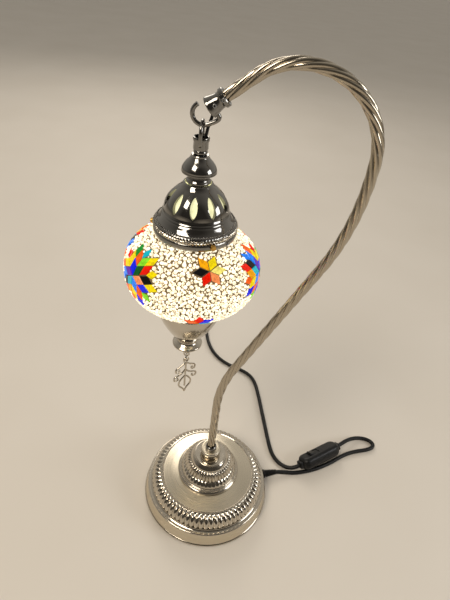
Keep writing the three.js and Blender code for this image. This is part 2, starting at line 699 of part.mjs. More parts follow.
// ---- lamp holder and bulb ------------------------------------------------------------------
const holderTop = capTop - CAP_H * 0.28;
const holderLow = holderTop - HOLDER_H;
const bulbInHolder = 14; // how deep the bulb's screw cap sits
const pendantRodTop = cupLow + 1 + GAP - rodIn + 3;
const capNutTop = capTop - SHEET_WALL - GAP;
place('pendant_rod', tubeRing(ROD_R, ROD_BORE_R, holderTop - 4, pendantRodTop, 16), zincSteel, hookAxisX);
place('dome_nut', hexNut(capNutTop), zincSteel, hookAxisX);
place('holder_body', turned([
  [rodHoleR, holderTop],
  [HOLDER_R - 4, holderTop],
  [HOLDER_R, holderTop - 6],
  [HOLDER_R, holderLow],
  [HOLDER_R - 3, holderLow],
  [HOLDER_R - 3, holderTop - 9],
  [rodHoleR, holderTop - 9],
]), whitePlastic, hookAxisX);
const shadeRing = tubeRing(HOLDER_RING_R, HOLDER_R + GAP, holderLow + 8, holderLow + 11);
place('holder_ring', shadeRing, whitePlastic, hookAxisX);
const insertR = HOLDER_R - 3 - GAP;
place('holder_contacts', turned([
  [0, holderTop - 17.5],
  [insertR - 2.5, holderTop - 17.5],
  [insertR - 2.5, holderLow + 3],
  [insertR, holderLow + 3],
  [insertR, holderTop - 14],
  [0, holderTop - 14],
]), brass, hookAxisX);
const bulbCapR = Math.min(BULB_CAP_R, insertR - 2.5 - GAP);
const bulbCapLow = holderLow - 2;
place('bulb_cap', turned([
  [0, bulbCapLow],
  [bulbCapR, bulbCapLow],
  [bulbCapR, bulbCapLow + bulbInHolder],
  [2.4, bulbCapLow + bulbInHolder + 3],
  [0, bulbCapLow + bulbInHolder + 3],
], 16), zincSteel, hookAxisX);
const bulbTop = bulbCapLow - GAP;
const bulbLow = holderLow - BULB_BELOW;
place('bulb_glass', turned([
  [0, bulbLow],
  [BULB_R * 0.45, bulbLow + 1.9],
  [BULB_R * 0.84, bulbLow + BULB_R * 0.45],
  [BULB_R, bulbLow + BULB_R],
  [BULB_R * 0.86, bulbLow + BULB_R * 1.5],
  [BULB_R * 0.6, bulbLow + BULB_R * 1.95],
  [bulbCapR, bulbTop],
  [0, bulbTop],
]), frostedGlass, hookAxisX);

// ---- bottom cap, clamp bar and bolt -----------------------------------------------------------
const bowlRimInner = BOWL_RIM_R - SHEET_WALL;
const bowlTop = globeZ - globeHeightAt(GLOBE_R, GLOBE_HALF_H, BOWL_RIM_R) - GAP * 2;
const bowlLow = bowlTop - BOWL_H;
place('bottom_bowl', spun([
  [BOWL_RIM_R, bowlTop],
  [BOWL_RIM_R, bowlTop - 3.4],
  [BOWL_RIM_R - 1.4, bowlTop - BOWL_H * 0.3],
  [BOWL_RIM_R - 4.4, bowlTop - BOWL_H * 0.55],
  [BOWL_RIM_R - 8.6, bowlTop - BOWL_H * 0.74],
  [BOWL_RIM_R - 14.5, bowlTop - BOWL_H * 0.9],
  [BOWL_NECK_R, bowlLow],
  [BOLT_R + GAP, bowlLow],
], SHEET_WALL), nickel, hookAxisX);
const footRingTop = bowlLow - GAP;
const footRingLow = footRingTop - FOOT_RING_H;
place('bottom_ring', turned([
  [BOLT_R + GAP, footRingTop - 2],
  [FOOT_RING_R - 5, footRingLow + 2.5],
  [FOOT_RING_R - 1.4, footRingLow],
  [FOOT_RING_R, footRingLow + 1],
  [FOOT_RING_R - 0.6, footRingLow + FOOT_RING_H * 0.55],
  [BOWL_NECK_R - 0.6, footRingTop],
  [BOLT_R + GAP, footRingTop],
]), nickel, hookAxisX);
const bossTop = footRingTop - 2 - GAP;
const bossLow = bossTop - BOSS_H;
place('bottom_boss', turned([
  [BOLT_R + GAP, bossTop - 1.5],
  [BOLT_R + GAP + 1.6, bossTop - 2],
  [BOSS_R * 0.6, footRingLow - GAP],
  [BOSS_R, footRingLow - 1.6],
  [BOSS_R * 0.9, bossLow + 3.6],
  [BOSS_R * 0.5, bossLow + 1],
  [BOLT_R + GAP, bossLow],
]), nickel, hookAxisX);

const barR = bowlRimInner - 1.6;
const barHalfW = 4.5;
const barCornerR = Math.hypot(barR, barHalfW) / Math.cos(Math.PI / ROUND);
const barLow = globeZ - globeHeightAt(GLOBE_R - GLASS_T, GLOBE_HALF_H - GLASS_T, barCornerR) + GAP;
const barT = 1.6;
const boltHole = new THREE.CylinderGeometry(BOLT_R + GAP, BOLT_R + GAP, 6, 12).rotateX(Math.PI / 2);
place('clamp_bar', without(
  new THREE.BoxGeometry(2 * barR, 2 * barHalfW, barT).translate(0, 0, barLow + barT / 2),
  boltHole.translate(0, 0, barLow),
), zincSteel, hookAxisX);
const boltHeadLow = barLow + barT + GAP;
const eyeZ = bossLow - EYE_R - EYE_WIRE_R + 0.4;

function eyeBolt() {
  const shank = disc(BOLT_R, eyeZ + EYE_R, boltHeadLow + 0.5, 12);
  const head = disc(BOLT_R * 1.7, boltHeadLow, boltHeadLow + 1.8, 6);
  const eye = new THREE.TorusGeometry(EYE_R, EYE_WIRE_R, 6, 14).rotateX(Math.PI / 2).translate(0, 0, eyeZ);
  return joined(shank, head, eye);
}
place('eye_bolt', eyeBolt(), nickel, hookAxisX);

// ---- charm --------------------------------------------------------------------------------
const charmPivotZ = eyeZ - EYE_R;
const ringZ = charmPivotZ + EYE_WIRE_R + RING_WIRE_R + GAP - RING_R;
place('charm_ring', new THREE.TorusGeometry(RING_R, RING_WIRE_R, 6, 16)
  .rotateY(Math.PI / 2).translate(0, 0, ringZ), nickel, hookAxisX);

// A flat cast palmette: a pointed leaf with a spine and two pairs of scrolled openings.
function charm() {
  const half = CHARM_W / 2;
  const shape = new THREE.Shape();
  shape.moveTo(0, 0);
  shape.bezierCurveTo(-half * 0.4, -2, -half, -5, -half, -CHARM_H * 0.3);
  shape.bezierCurveTo(-half, -CHARM_H * 0.6, -half * 0.6, -CHARM_H * 0.85, 0, -CHARM_H);
  shape.bezierCurveTo(half * 0.6, -CHARM_H * 0.85, half, -CHARM_H * 0.6, half, -CHARM_H * 0.3);
  shape.bezierCurveTo(half, -5, half * 0.4, -2, 0, 0);
  for (const side of [-1, 1]) {
    for (const [x, z, w, h] of [[0.46, 0.27, 0.34, 0.15], [0.38, 0.6, 0.25, 0.13]]) {
      shape.holes.push(ellipse(new THREE.Path(), side * half * x, -CHARM_H * z, half * w, CHARM_H * h, 10));
    }
  }
  const loopR = 2.4;
  const loopZ = ringZ - RING_R + RING_WIRE_R + EYE_WIRE_R + GAP - loopR;
  const leafTop = loopZ - loopR - 5.5;
  const leaf = new THREE.ExtrudeGeometry(shape, { depth: CHARM_T, bevelEnabled: false, curveSegments: 5 })
    .rotateX(Math.PI / 2).translate(0, CHARM_T / 2, leafTop);
  const loop = new THREE.TorusGeometry(loopR, EYE_WIRE_R, 6, 12).rotateX(Math.PI / 2).translate(0, 0, loopZ);
  const bead = turned([
    [0, leafTop - 2.5],
    [0.9, leafTop - 2.5],
    [1, leafTop + 0.8],
    [2.2, leafTop + 2.4],
    [1, loopZ - loopR - 0.6],
    [0.6, loopZ - loopR],
    [0, loopZ - loopR],
  ], 10);
  return joined(leaf.rotateZ(CHARM_TURN * RAD), loop, bead);
}
place('charm', charm(), nickel, hookAxisX);

// ---- thin cable through the arm and the pendant ------------------------------------------------
const spliceTop = weightLow + 11;
place('cable_splice', new THREE.BoxGeometry(20, 13, 10).translate(0, 0, spliceTop - 5), whitePlastic);

const mouth = armEnd.clone().addScaledVector(noseWay, FERRULE_REACH - 1.5);
const armCable = new THREE.CurvePath();
const cableStart = new THREE.Vector3(0, 0, spliceTop + GAP);
armCable.add(new THREE.LineCurve3(cableStart, new THREE.Vector3(0, 0, armFootZ)));
armCurve.curves.forEach((curve) => armCable.add(curve));
armCable.add(new THREE.LineCurve3(armEnd, mouth));
place('arm_cable', along(armCable, CABLE_R, CABLE_STEP, 8), blackPvc);

// The bare stretch leaves the mouth, passes behind the hook and beside the link's bar.
const besideBar = hookAxisX + LINK_WIRE_R + CABLE_R + 0.4;
const bareCable = through([
  mouth.clone().addScaledVector(noseWay, GAP),
  mouth.clone().addScaledVector(noseWay, 1.4),
  [besideBar + 0.1, 1.5, hookCentreZ + 0.6],
  [besideBar + 0.2, 3.1, hookLowZ + 2.2],
  [besideBar + 0.2, 3.2, hookLowZ - 0.8],
  [besideBar + 0.1, 1.4, cupTop + 1.6],
  [besideBar, 0.2, barZ + 2.2],
  [besideBar - 0.1, 0, barZ - 0.6],
  [hookAxisX + 1.2, 0, pendantRodTop + 0.8],
  [hookAxisX + 0.9, 0, pendantRodTop - 1],
]);
place('swing_cable', along(bareCable, CABLE_R, 3, 8), blackPvc);
const rodCable = new THREE.LineCurve3(
  new THREE.Vector3(0.6, 0, pendantRodTop - 1 - 2 * GAP),
  new THREE.Vector3(0.6, 0, holderTop - 13),
);
place('pendant_cable', along(rodCable, CABLE_R, 9, 8), blackPvc, hookAxisX);

// ---- mains lead and its strain relief -------------------------------------------------------------
const reliefFrom = BASE_R - 9;
const reliefTo = BASE_R + RELIEF_OUT;

function strainRelief() {
  const sleeve = turned([
    [CORD_BORE_R, reliefFrom],
    [RELIEF_R, reliefFrom],
    [RELIEF_R, BASE_R + GAP],
    [RELIEF_R + 1.4, BASE_R + GAP],
    [RELIEF_R + 1.4, BASE_R + 2],
    [RELIEF_R, BASE_R + 2.6],
    [CORD_BORE_R + 0.7, reliefTo],
    [CORD_BORE_R, reliefTo],
  ], 16);
  return sleeve.rotateY(Math.PI / 2).translate(0, 0, EXIT_Z).rotateZ(EXIT_TURN * RAD);
}
place('strain_relief', strainRelief(), blackPvc);

function outAt(distance, z = EXIT_Z) {
  return exitDirection.clone().multiplyScalar(distance).setZ(z);
}
const innerLead = new THREE.LineCurve3(outAt(13), outAt(BASE_R - 1));
place('inner_lead', along(innerLead, CORD_R, 15, CORD_SIDES), blackPvc);

// The lead lies on the table: out of the rim, past the switch and back into its far end.
const leadPoints = [
  outAt(BASE_R - 1 + GAP),
  outAt(reliefTo - 5),
  outAt(reliefTo + 2.5, EXIT_Z - 0.2),
  [100, 30.8, 4.2],
  [112, 32.2, 2.9],
  [128, 36.6, 2.8],
  [144, 43.4, 2.8],
  [160, 52.8, 2.8],
  [175, 63.6, 2.8],
  [190, 73.4, 2.8],
  [206, 79.6, 2.8],
  [220, 83.6, 2.8],
  [228.5, 90.4, 2.8],
  [224, 98.6, 3],
  [210, 100.2, 4],
  [196, 95, 6.6],
  [184.5, 86.2, 9.6],
];

// ---- in-line switch ---------------------------------------------------------------------------------
// Modelled along X with its rocker up, then leaned over and laid beside the lead.
function onSwitch(geometry) {
  return geometry.rotateX(SWITCH_LEAN * RAD).rotateZ(SWITCH_TURN * RAD)
    .translate(SWITCH_AT.x, SWITCH_AT.y, SWITCH_AT.z);
}
function switchPoint(x, y = 0, z = 0) {
  return new THREE.Vector3(x, y, z)
    .applyAxisAngle(new THREE.Vector3(1, 0, 0), SWITCH_LEAN * RAD)
    .applyAxisAngle(new THREE.Vector3(0, 0, 1), SWITCH_TURN * RAD)
    .add(SWITCH_AT);
}
const halfL = SWITCH_L / 2;
const halfW = SWITCH_W / 2;
const halfH = SWITCH_H / 2;
const shellWall = 1.8;

// Half a switch casing, as a box with chamfered corners, hollowed out.
function halfCasing(up) {
  const cut = 5.5;
  const outline = [
    [halfL, halfW - cut], [halfL - cut, halfW], [cut - halfL, halfW], [-halfL, halfW - cut],
    [-halfL, cut - halfW], [cut - halfL, -halfW], [halfL - cut, -halfW], [halfL, cut - halfW],
  ];
  const shape = new THREE.Shape(outline.map(([x, y]) => new THREE.Vector2(x, y)));
  const bevel = 2.5;
  const block = new THREE.ExtrudeGeometry(shape, {
    depth: halfH - bevel - GAP / 2,
    bevelThickness: bevel,
    bevelSize: bevel,
    bevelOffset: -bevel,
    bevelSegments: 1,
  });
  const trimmed = without(
    block,
    new THREE.BoxGeometry(SWITCH_L + 9, SWITCH_W + 9, 10).translate(0, 0, -5),
    new THREE.BoxGeometry(SWITCH_L - 2 * cut, SWITCH_W - 2 * shellWall - 2, halfH - shellWall)
      .translate(0, 0, (halfH - shellWall) / 2 - 0.01),
    new THREE.CylinderGeometry(CORD_BORE_R, CORD_BORE_R, SWITCH_L + 9, 12).rotateZ(Math.PI / 2),
  );
  trimmed.translate(0, 0, GAP / 2);
  return up ? trimmed : trimmed.rotateX(Math.PI);
}

const rockerHole = new THREE.BoxGeometry(ROCKER_L + 1.2, ROCKER_W + 1, SWITCH_H)
  .translate(ROCKER_FROM_MIDDLE, 0, halfH);
place('switch_upper', onSwitch(without(halfCasing(true), rockerHole)), blackResin);
place('switch_lower', onSwitch(halfCasing(false)), blackResin);

const rockerPivotZ = halfH - 3.2;
function rocker() {
  const top = halfH + ROCKER_LIFT - rockerPivotZ;
  const reach = ROCKER_L / 2;
  const side = new THREE.Shape();
  side.moveTo(-reach, 1.2);
  side.quadraticCurveTo(-reach * 0.6, -3, 0, -3);
  side.quadraticCurveTo(reach * 0.6, -3, reach, -0.4);
  side.lineTo(reach, 2.9);
  side.quadraticCurveTo(0, 2.2, -reach + 0.6, top);
  side.closePath();
  return new THREE.ExtrudeGeometry(side, { depth: ROCKER_W, bevelEnabled: false, curveSegments: 4 })
    .rotateX(Math.PI / 2).translate(ROCKER_FROM_MIDDLE, ROCKER_W / 2, rockerPivotZ);
}
place('switch_rocker', onSwitch(rocker()), blackResin);
const contactBlock = new THREE.BoxGeometry(18, 12, 4.6).translate(ROCKER_FROM_MIDDLE + 3, 0, -3.6);
place('switch_block', onSwitch(contactBlock), whitePlastic);

for (let i = 0; i < 2; i += 1) {
  const x = (i === 0 ? -1 : 1) * (halfL - GRIP_FROM_END);
  place(`cord_grip_${i + 1}`, onSwitch(without(
    new THREE.BoxGeometry(4, 12, 9).translate(x, 0, 0),
    new THREE.CylinderGeometry(CORD_BORE_R, CORD_BORE_R, 20, 12).rotateZ(Math.PI / 2).translate(x, 0, 0),
  )), zincSteel);
}

const gripInner = halfL - 14.7; // where the cores leave the cord's sheath
place('cord_lead', along(through([
  ...leadPoints,
  switchPoint(halfL + 2.5),
  switchPoint(halfL - 3),
  switchPoint(gripInner),
]), CORD_R, CORD_STEP, CORD_SIDES), blackPvc);

// ---- cord tail, coil, tie and plug --------------------------------------------------------------------
const tailPoints = [
  switchPoint(-gripInner),
  switchPoint(3 - halfL),
  switchPoint(-halfL - 2.5),
  switchPoint(-halfL - 6).setZ(9.8),
  [108.4, 36.8, 6],
  [101, 39.6, 3.4],
  [93.6, 44.6, 2.8],
  [85.4, 51.6, 2.8],
  [80, 65, 2.8],
  [76, 90, 2.8],
  [69.4, 121, 2.8],
  [63, 157, 2.8],
  [57.8, 181, 2.8],
  [50, 196, 2.8],
  [36, 204, 2.8],
  [16, 211, 2.8],
  [-4, 224, 2.8],
  [-22, 248, 2.8],
  [-31, 276, 2.8],
  [-33.5, 308, 2.8],
  [-33, 340, 2.8],
  [-31.5, 372, 2.8],
  [COIL_AT.x + COIL_R + COIL_HALF_W + CORD_R + 0.6, COIL_AT.y - 4, 2.8],
];
place('cord_tail', along(through(tailPoints), CORD_R, CORD_STEP, CORD_SIDES), blackPvc);

function coil() {
  const outline = [];
  for (let i = 0; i < 8; i += 1) {
    const turn = ((i + 0.5) / 8) * 2 * Math.PI;
    outline.push([COIL_R + COIL_HALF_W * Math.cos(turn), COIL_HALF_H * Math.sin(turn)]);
  }
  return turned(outline, 24);
}
const coilZ = COIL_HALF_H + 1.3;
place('cord_coil', coil(), blackPvc, COIL_AT.x, COIL_AT.y, coilZ);

// A flat band round all the turns, at the far side of the coil.
function coilTie() {
  const outline = ellipse(new THREE.Shape(), 0, 0, COIL_HALF_W + 1.1, COIL_HALF_H + 1.1, 16);
  outline.holes.push(ellipse(new THREE.Path(), 0, 0, COIL_HALF_W + 0.5, COIL_HALF_H + 0.5, 16));
  return new THREE.ExtrudeGeometry(outline, { depth: 5, bevelEnabled: false })
    .translate(0, 0, -2.5).rotateX(Math.PI / 2).rotateZ(Math.PI / 2);
}
place('cord_tie', coilTie(), blackResin, COIL_AT.x, COIL_AT.y + COIL_R, coilZ);

// The plug lies flat on the coil, and the last of the cord bends into its back.
const coilTop = coilZ + COIL_HALF_H * Math.cos(Math.PI / 8);
const plugZ = coilTop + GAP + PLUG_H / 2;
const plugBackX = COIL_AT.x - COIL_R + COIL_LEAVE_R;
const plugY = COIL_AT.y - COIL_LEAVE_R;
function plugBody() {
  const outline = new THREE.Shape([
    [0, -4.5], [PLUG_L - 8, -PLUG_W / 2], [PLUG_L, -PLUG_W / 2],
    [PLUG_L, PLUG_W / 2], [PLUG_L - 8, PLUG_W / 2], [0, 4.5],
  ].map(([x, y]) => new THREE.Vector2(x, y)));
  return new THREE.ExtrudeGeometry(outline, { depth: PLUG_H, bevelEnabled: false })
    .translate(0, 0, -PLUG_H / 2);
}
place('plug_body', plugBody(), blackResin, plugBackX, plugY, plugZ);
for (let i = 0; i < 2; i += 1) {
  const pin = new THREE.CylinderGeometry(PIN_R, PIN_R, PIN_L, 12).rotateZ(Math.PI / 2);
  const side = i === 0 ? -1 : 1;
  const pinX = plugBackX + PLUG_L + GAP + PIN_L / 2;
  place(`plug_pin_${i + 1}`, pin, nickel, pinX, plugY + side * PIN_SPREAD, plugZ);
}

const endLowZ = coilTop + GAP + CORD_R;
const endPoints = [180, 200, 220, 240, 256, 264].map((turn, i) => [
  plugBackX + COIL_LEAVE_R * Math.cos(turn * RAD),
  COIL_AT.y + COIL_LEAVE_R * Math.sin(turn * RAD),
  Math.min(endLowZ + i * 0.8, plugZ),
]);
const endCurve = through([...endPoints, [plugBackX - GAP, plugY, plugZ]]);
place('cord_end', along(endCurve, CORD_R, CORD_STEP / 2, CORD_SIDES), blackPvc);

export default lamp;
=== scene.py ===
import math
import random

import bmesh
import bpy
from mathutils import Matrix, Vector


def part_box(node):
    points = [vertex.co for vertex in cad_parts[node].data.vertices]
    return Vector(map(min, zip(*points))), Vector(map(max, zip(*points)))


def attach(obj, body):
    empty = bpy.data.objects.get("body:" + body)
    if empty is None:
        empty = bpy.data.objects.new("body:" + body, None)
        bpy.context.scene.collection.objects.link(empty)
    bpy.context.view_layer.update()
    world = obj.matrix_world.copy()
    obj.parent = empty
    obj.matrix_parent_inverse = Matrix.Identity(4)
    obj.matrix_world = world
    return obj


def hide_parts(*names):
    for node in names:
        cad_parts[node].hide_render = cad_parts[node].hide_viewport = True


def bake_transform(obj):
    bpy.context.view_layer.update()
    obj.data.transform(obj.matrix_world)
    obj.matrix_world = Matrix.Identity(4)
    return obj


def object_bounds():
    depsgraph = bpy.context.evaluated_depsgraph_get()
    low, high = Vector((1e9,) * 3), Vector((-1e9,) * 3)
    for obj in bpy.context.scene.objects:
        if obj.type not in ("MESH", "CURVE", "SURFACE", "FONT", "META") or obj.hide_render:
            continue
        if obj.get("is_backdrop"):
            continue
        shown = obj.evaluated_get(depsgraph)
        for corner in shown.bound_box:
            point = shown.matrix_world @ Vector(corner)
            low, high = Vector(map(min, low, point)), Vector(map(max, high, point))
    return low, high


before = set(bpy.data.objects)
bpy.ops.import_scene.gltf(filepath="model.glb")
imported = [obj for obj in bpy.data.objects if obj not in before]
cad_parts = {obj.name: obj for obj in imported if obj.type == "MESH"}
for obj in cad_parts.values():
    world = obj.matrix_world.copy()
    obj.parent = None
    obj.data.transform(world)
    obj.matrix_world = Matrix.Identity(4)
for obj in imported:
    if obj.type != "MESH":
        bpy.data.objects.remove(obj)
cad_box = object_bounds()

# ---- camera ---------------------------------------------------------------
# Held at head height in front of the lamp, looking down at it, with a slight roll.
# The lens is a normal wide one on a 36 mm long side.
MM = 0.001
CAMERA_AT = Vector((-5.4, -323.6, 549.9)) * MM
CAMERA_PITCH = math.radians(37.84)
CAMERA_ROLL = math.radians(7.27)
LENS_MM = 28.2

camera = bpy.data.objects.new("camera", bpy.data.cameras.new("camera"))
bpy.context.collection.objects.link(camera)
camera.data.lens = LENS_MM
camera.data.sensor_width = 36
camera.data.clip_start = 0.01
looks = Vector((0, math.cos(CAMERA_PITCH), -math.sin(CAMERA_PITCH)))
level = Vector((1, 0, 0))
above = Vector((0, math.sin(CAMERA_PITCH), math.cos(CAMERA_PITCH)))
right = level * math.cos(CAMERA_ROLL) + above * math.sin(CAMERA_ROLL)
up = above * math.cos(CAMERA_ROLL) - level * math.sin(CAMERA_ROLL)
camera.matrix_world = Matrix.Translation(CAMERA_AT) @ Matrix((right, up, -looks)).transposed().to_4x4()
bpy.context.scene.camera = camera

# ---- mains cord -------------------------------------------------------------
# Round black PVC flex, 5.2 mm thick, 1.8 m in all. It leaves the base's rim, loops past
# the in-line switch and into its far end, comes out of the near end and runs off behind.
# The spare length is wound into a round coil of six turns that ends in the plug.
CORD_D = 5.2 * MM
EXIT_TURN = math.radians(17.8)
EXIT_Z = 6.5
COIL_AT = Vector((-72, 408, 0))
FLOOR_Z = 2.8
GRIP_AT = 15.8


def paint(hex_colour):
    """An sRGB hex value as the linear colour a shader takes."""
    channels = [int(hex_colour[i:i + 2], 16) / 255 for i in (1, 3, 5)]
    linear = [c / 12.92 if c <= 0.04045 else ((c + 0.055) / 1.055) ** 2.4 for c in channels]
    return (*linear, 1.0)


def add_node(tree, kind, inputs=(), **settings):
    """Adds a shader node with its settings, and with each input set or linked."""
    new = tree.nodes.new("ShaderNode" + kind)
    for name, value in settings.items():
        setattr(new, name, value)
    for socket, value in dict(inputs).items():
        if isinstance(value, bpy.types.NodeSocket):
            tree.links.new(value, new.inputs[socket])
        else:
            new.inputs[socket].default_value = value
    return new


def new_material(name, colour, roughness, metallic=0.0):
    """A material with its surface set, its tree, its shader and its Object coordinates."""
    material = bpy.data.materials.new(name)
    material.use_nodes = True
    tree = material.node_tree
    shader = tree.nodes["Principled BSDF"]
    shader.inputs["Base Color"].default_value = paint(colour)
    shader.inputs["Roughness"].default_value = roughness
    shader.inputs["Metallic"].default_value = metallic
    return material, tree, shader, add_node(tree, "TexCoord").outputs["Object"]


def mottle(tree, shader, coords, socket, size_mm, low, high, detail=3.0):
    """Lets a surface value wander between two limits, in patches of a real size."""
    noise = add_node(tree, "TexNoise", {"Vector": coords, "Scale": 1 / (size_mm * MM), "Detail": detail})
    spread = add_node(tree, "MapRange", {"Value": noise.outputs["Fac"], "From Min": 0.3, "From Max": 0.7,
                                         "To Min": low, "To Max": high})
    tree.links.new(spread.outputs["Result"], shader.inputs[socket])


def grained(tree, shader, coords, size_mm, depth_mm, detail=2.0):
    """Raises the surface in grains of a real size and depth, and hands their pattern back."""
    noise = add_node(tree, "TexNoise", {"Vector": coords, "Scale": 1 / (size_mm * MM), "Detail": detail})
    bump = add_node(tree, "Bump", {"Height": noise.outputs["Fac"], "Distance": depth_mm * MM,
                                   "Strength": 1.0})
    tree.links.new(bump.outputs["Normal"], shader.inputs["Normal"])
    return noise.outputs["Fac"]


def link_piece(name, data, material):
    """Puts a finished piece in the scene, named, with its finish."""
    piece = bpy.data.objects.new(name, data)
    bpy.context.collection.objects.link(piece)
    data.materials.append(material)
    return piece


# Flexible PVC, extruded: even black with a soft sheen, and rubbed a little matt in places.
soft_pvc, tree, shader, coords = new_material("extruded_pvc", "#070707", 0.45)
mottle(tree, shader, coords, "Roughness", 9, 0.4, 0.56)
shader.inputs["Specular IOR Level"].default_value = 0.35
grained(tree, shader, coords, 0.8, 0.03)


def bent_rod(name, points, radius, sides, cuts, closed=False):
    """A round rod of a radius in metres along points in millimetres, as one smooth curve."""
    curve = bpy.data.curves.new(name, "CURVE")
    curve.dimensions = "3D"
    curve.bevel_depth = radius
    curve.bevel_resolution = sides
    curve.resolution_u = cuts
    curve.use_fill_caps = True
    spline = curve.splines.new("NURBS")
    spline.points.add(len(points) - 1)
    for knot, point in zip(spline.points, points):
        knot.co = (*(Vector(point) * MM), 1)
    spline.order_u = 4
    spline.use_cyclic_u = closed
    spline.use_endpoint_u = not closed
    return curve


def lay_cord(name, points):
    """A stretch of the mains flex along points in millimetres."""
    piece = link_piece(name, bent_rod(name, points, CORD_D / 2, 4, 6), soft_pvc)
    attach(piece, "stand")
    return piece


def out_at(distance, z=EXIT_Z):
    """A point on the cord's way out of the rim, a distance from the lamp's middle."""
    return (distance * math.cos(EXIT_TURN), distance * math.sin(EXIT_TURN), z)


SWITCH_AT = Vector((146.5, 58.5, 11.2))
SWITCH_HALF = 30.5
switch_turn = Matrix.Rotation(math.radians(34.6), 4, "Z") @ Matrix.Rotation(math.radians(-32), 4, "X")
switch_place = Matrix.Translation(SWITCH_AT) @ switch_turn


def on_switch(x, y=0.0, z=0.0):
    """A point given along, across and above the switch, in the lamp's own millimetres."""
    return tuple(switch_place @ Vector((x, y, z)))


lead = lay_cord("mains_lead", [
    out_at(74.3), out_at(80), out_at(86), out_at(92.5, 6.2), (94.5, 29.6, 5.4), (102, 31.1, 3.9),
    (112, 32.2, 2.9),
    (120, 34.2, FLOOR_Z), (128, 36.6, FLOOR_Z), (136, 39.7, FLOOR_Z), (144, 43.4, FLOOR_Z),
    (152, 47.9, FLOOR_Z), (160, 52.8, FLOOR_Z),
    (168, 58.4, FLOOR_Z), (176, 64.4, FLOOR_Z), (184, 70.0, FLOOR_Z), (194, 75.4, FLOOR_Z),
    (206, 79.6, FLOOR_Z), (218, 83.0, FLOOR_Z),
    (227, 88.2, FLOOR_Z), (228.5, 95.4, FLOOR_Z), (221, 100.8, 3.0), (209, 101.0, 4.0), (197, 96.4, 6.2),
    (186.5, 88.8, 8.8),
    on_switch(SWITCH_HALF + 6), on_switch(SWITCH_HALF + 1), on_switch(SWITCH_HALF - 5), on_switch(GRIP_AT),
])

tail_points = [
    on_switch(-GRIP_AT), on_switch(-24), on_switch(-SWITCH_HALF), (116.5, 37.8, 9.8), (108.4, 36.4, 6.2),
    (100.5, 39.2, 3.6), (92.6, 44.6, FLOOR_Z), (85.8, 52.6, FLOOR_Z), (80.8, 65, FLOOR_Z),
    (76, 90, FLOOR_Z), (70.6, 118, FLOOR_Z),
    (65.2, 147, FLOOR_Z), (60, 172, FLOOR_Z), (54.4, 189, FLOOR_Z), (44, 200, FLOOR_Z),
    (30, 206.6, FLOOR_Z), (13, 212.6, FLOOR_Z),
    (-4, 224.4, FLOOR_Z), (-18, 243, FLOOR_Z), (-28.4, 270, FLOOR_Z), (-32.8, 302, FLOOR_Z),
    (-33.2, 334, FLOOR_Z), (-32.6, 360, FLOOR_Z),
    (-32.8, 382, FLOOR_Z),
]
# Each turn of the coil, from the outside in along the bottom, then in the two layers on it.
coil_turns = [(34.6, 3.6), (29.2, 3.6), (23.8, 3.6), (26.5, 8.3), (31.8, 8.3), (29.0, 12.9)]
COIL_TOP_Z = coil_turns[-1][1]
TURN_STEPS = 18
LAST_TURN = 0.5
STEP_DOWN_FROM = 0.72
for turn, (turn_r, turn_z) in enumerate(coil_turns):
    last = turn == len(coil_turns) - 1
    next_r, next_z = coil_turns[min(turn + 1, len(coil_turns) - 1)]
    for step in range(TURN_STEPS if not last else int(TURN_STEPS * LAST_TURN) + 1):
        share = step / TURN_STEPS
        change = max(0.0, min(1.0, (share - STEP_DOWN_FROM) / (1 - STEP_DOWN_FROM)))
        change = change * change * (3 - 2 * change)
        radius = turn_r + (next_r - turn_r) * change
        around = share * 2 * math.pi
        tail_points.append((COIL_AT.x + radius * math.cos(around), COIL_AT.y + radius * math.sin(around),
                            turn_z + (next_z - turn_z) * change))
LEAVE_R = 21
plug_low, plug_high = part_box("plug_body")
plug_back = Vector((plug_low.x, (plug_low.y + plug_high.y) / 2, (plug_low.z + plug_high.z) / 2)) / MM
for step, degrees in enumerate((196, 212, 228, 244, 258)):
    around = math.radians(degrees)
    rise = (step + 1) / 6
    tail_points.append((plug_back.x + LEAVE_R * math.cos(around), COIL_AT.y + LEAVE_R * math.sin(around),
                        COIL_TOP_Z + (plug_back.z - COIL_TOP_Z) * rise * rise * (3 - 2 * rise)))
tail_points.append((plug_back.x - 3, plug_back.y, plug_back.z))
tail_points.append((plug_back.x + 1, plug_back.y, plug_back.z))
tail = lay_cord("mains_tail", tail_points)


# ---- strain relief -----------------------------------------------------------
# A ribbed sleeve of soft PVC moulded round the flex, with a collar that snaps into the
# hole in the base's rim. It tapers, so the flex bends in an even curve.
SLEEVE_FROM = 66
SLEEVE_TO = 93
SLEEVE_RIBS = 7
SLEEVE_RIB_FROM = 78.2
SLEEVE_RIB_PITCH = 2.0


def turned(outline, steps, at_x=0.0):
    """Spins a closed outline of (radius, height) in millimetres round an upright axis."""
    shell = bmesh.new()
    dots = [shell.verts.new((r * MM, 0, z * MM)) for r, z in outline]
    edges = [shell.edges.new(pair) for pair in zip(dots, dots[1:])]
    if outline[0][0] > 0.01 and outline[0] != outline[-1]:
        edges.append(shell.edges.new((dots[-1], dots[0])))
    shares = 12 if steps >= 96 else 4  # a share is spun first, then copied round, which is far faster
    bmesh.ops.spin(shell, geom=dots + edges, cent=(0, 0, 0), axis=(0, 0, 1), angle=2 * math.pi / shares,
                   steps=steps // shares)
    bmesh.ops.spin(shell, geom=shell.verts[:] + shell.edges[:] + shell.faces[:], cent=(0, 0, 0),
                   axis=(0, 0, 1),
                   angle=2 * math.pi * (shares - 1) / shares, steps=shares - 1, use_duplicate=True)
    bmesh.ops.remove_doubles(shell, verts=shell.verts, dist=0.004 * MM)
    bmesh.ops.recalc_face_normals(shell, faces=shell.faces)
    bmesh.ops.translate(shell, verts=shell.verts, vec=(at_x * MM, 0, 0))
    return shell


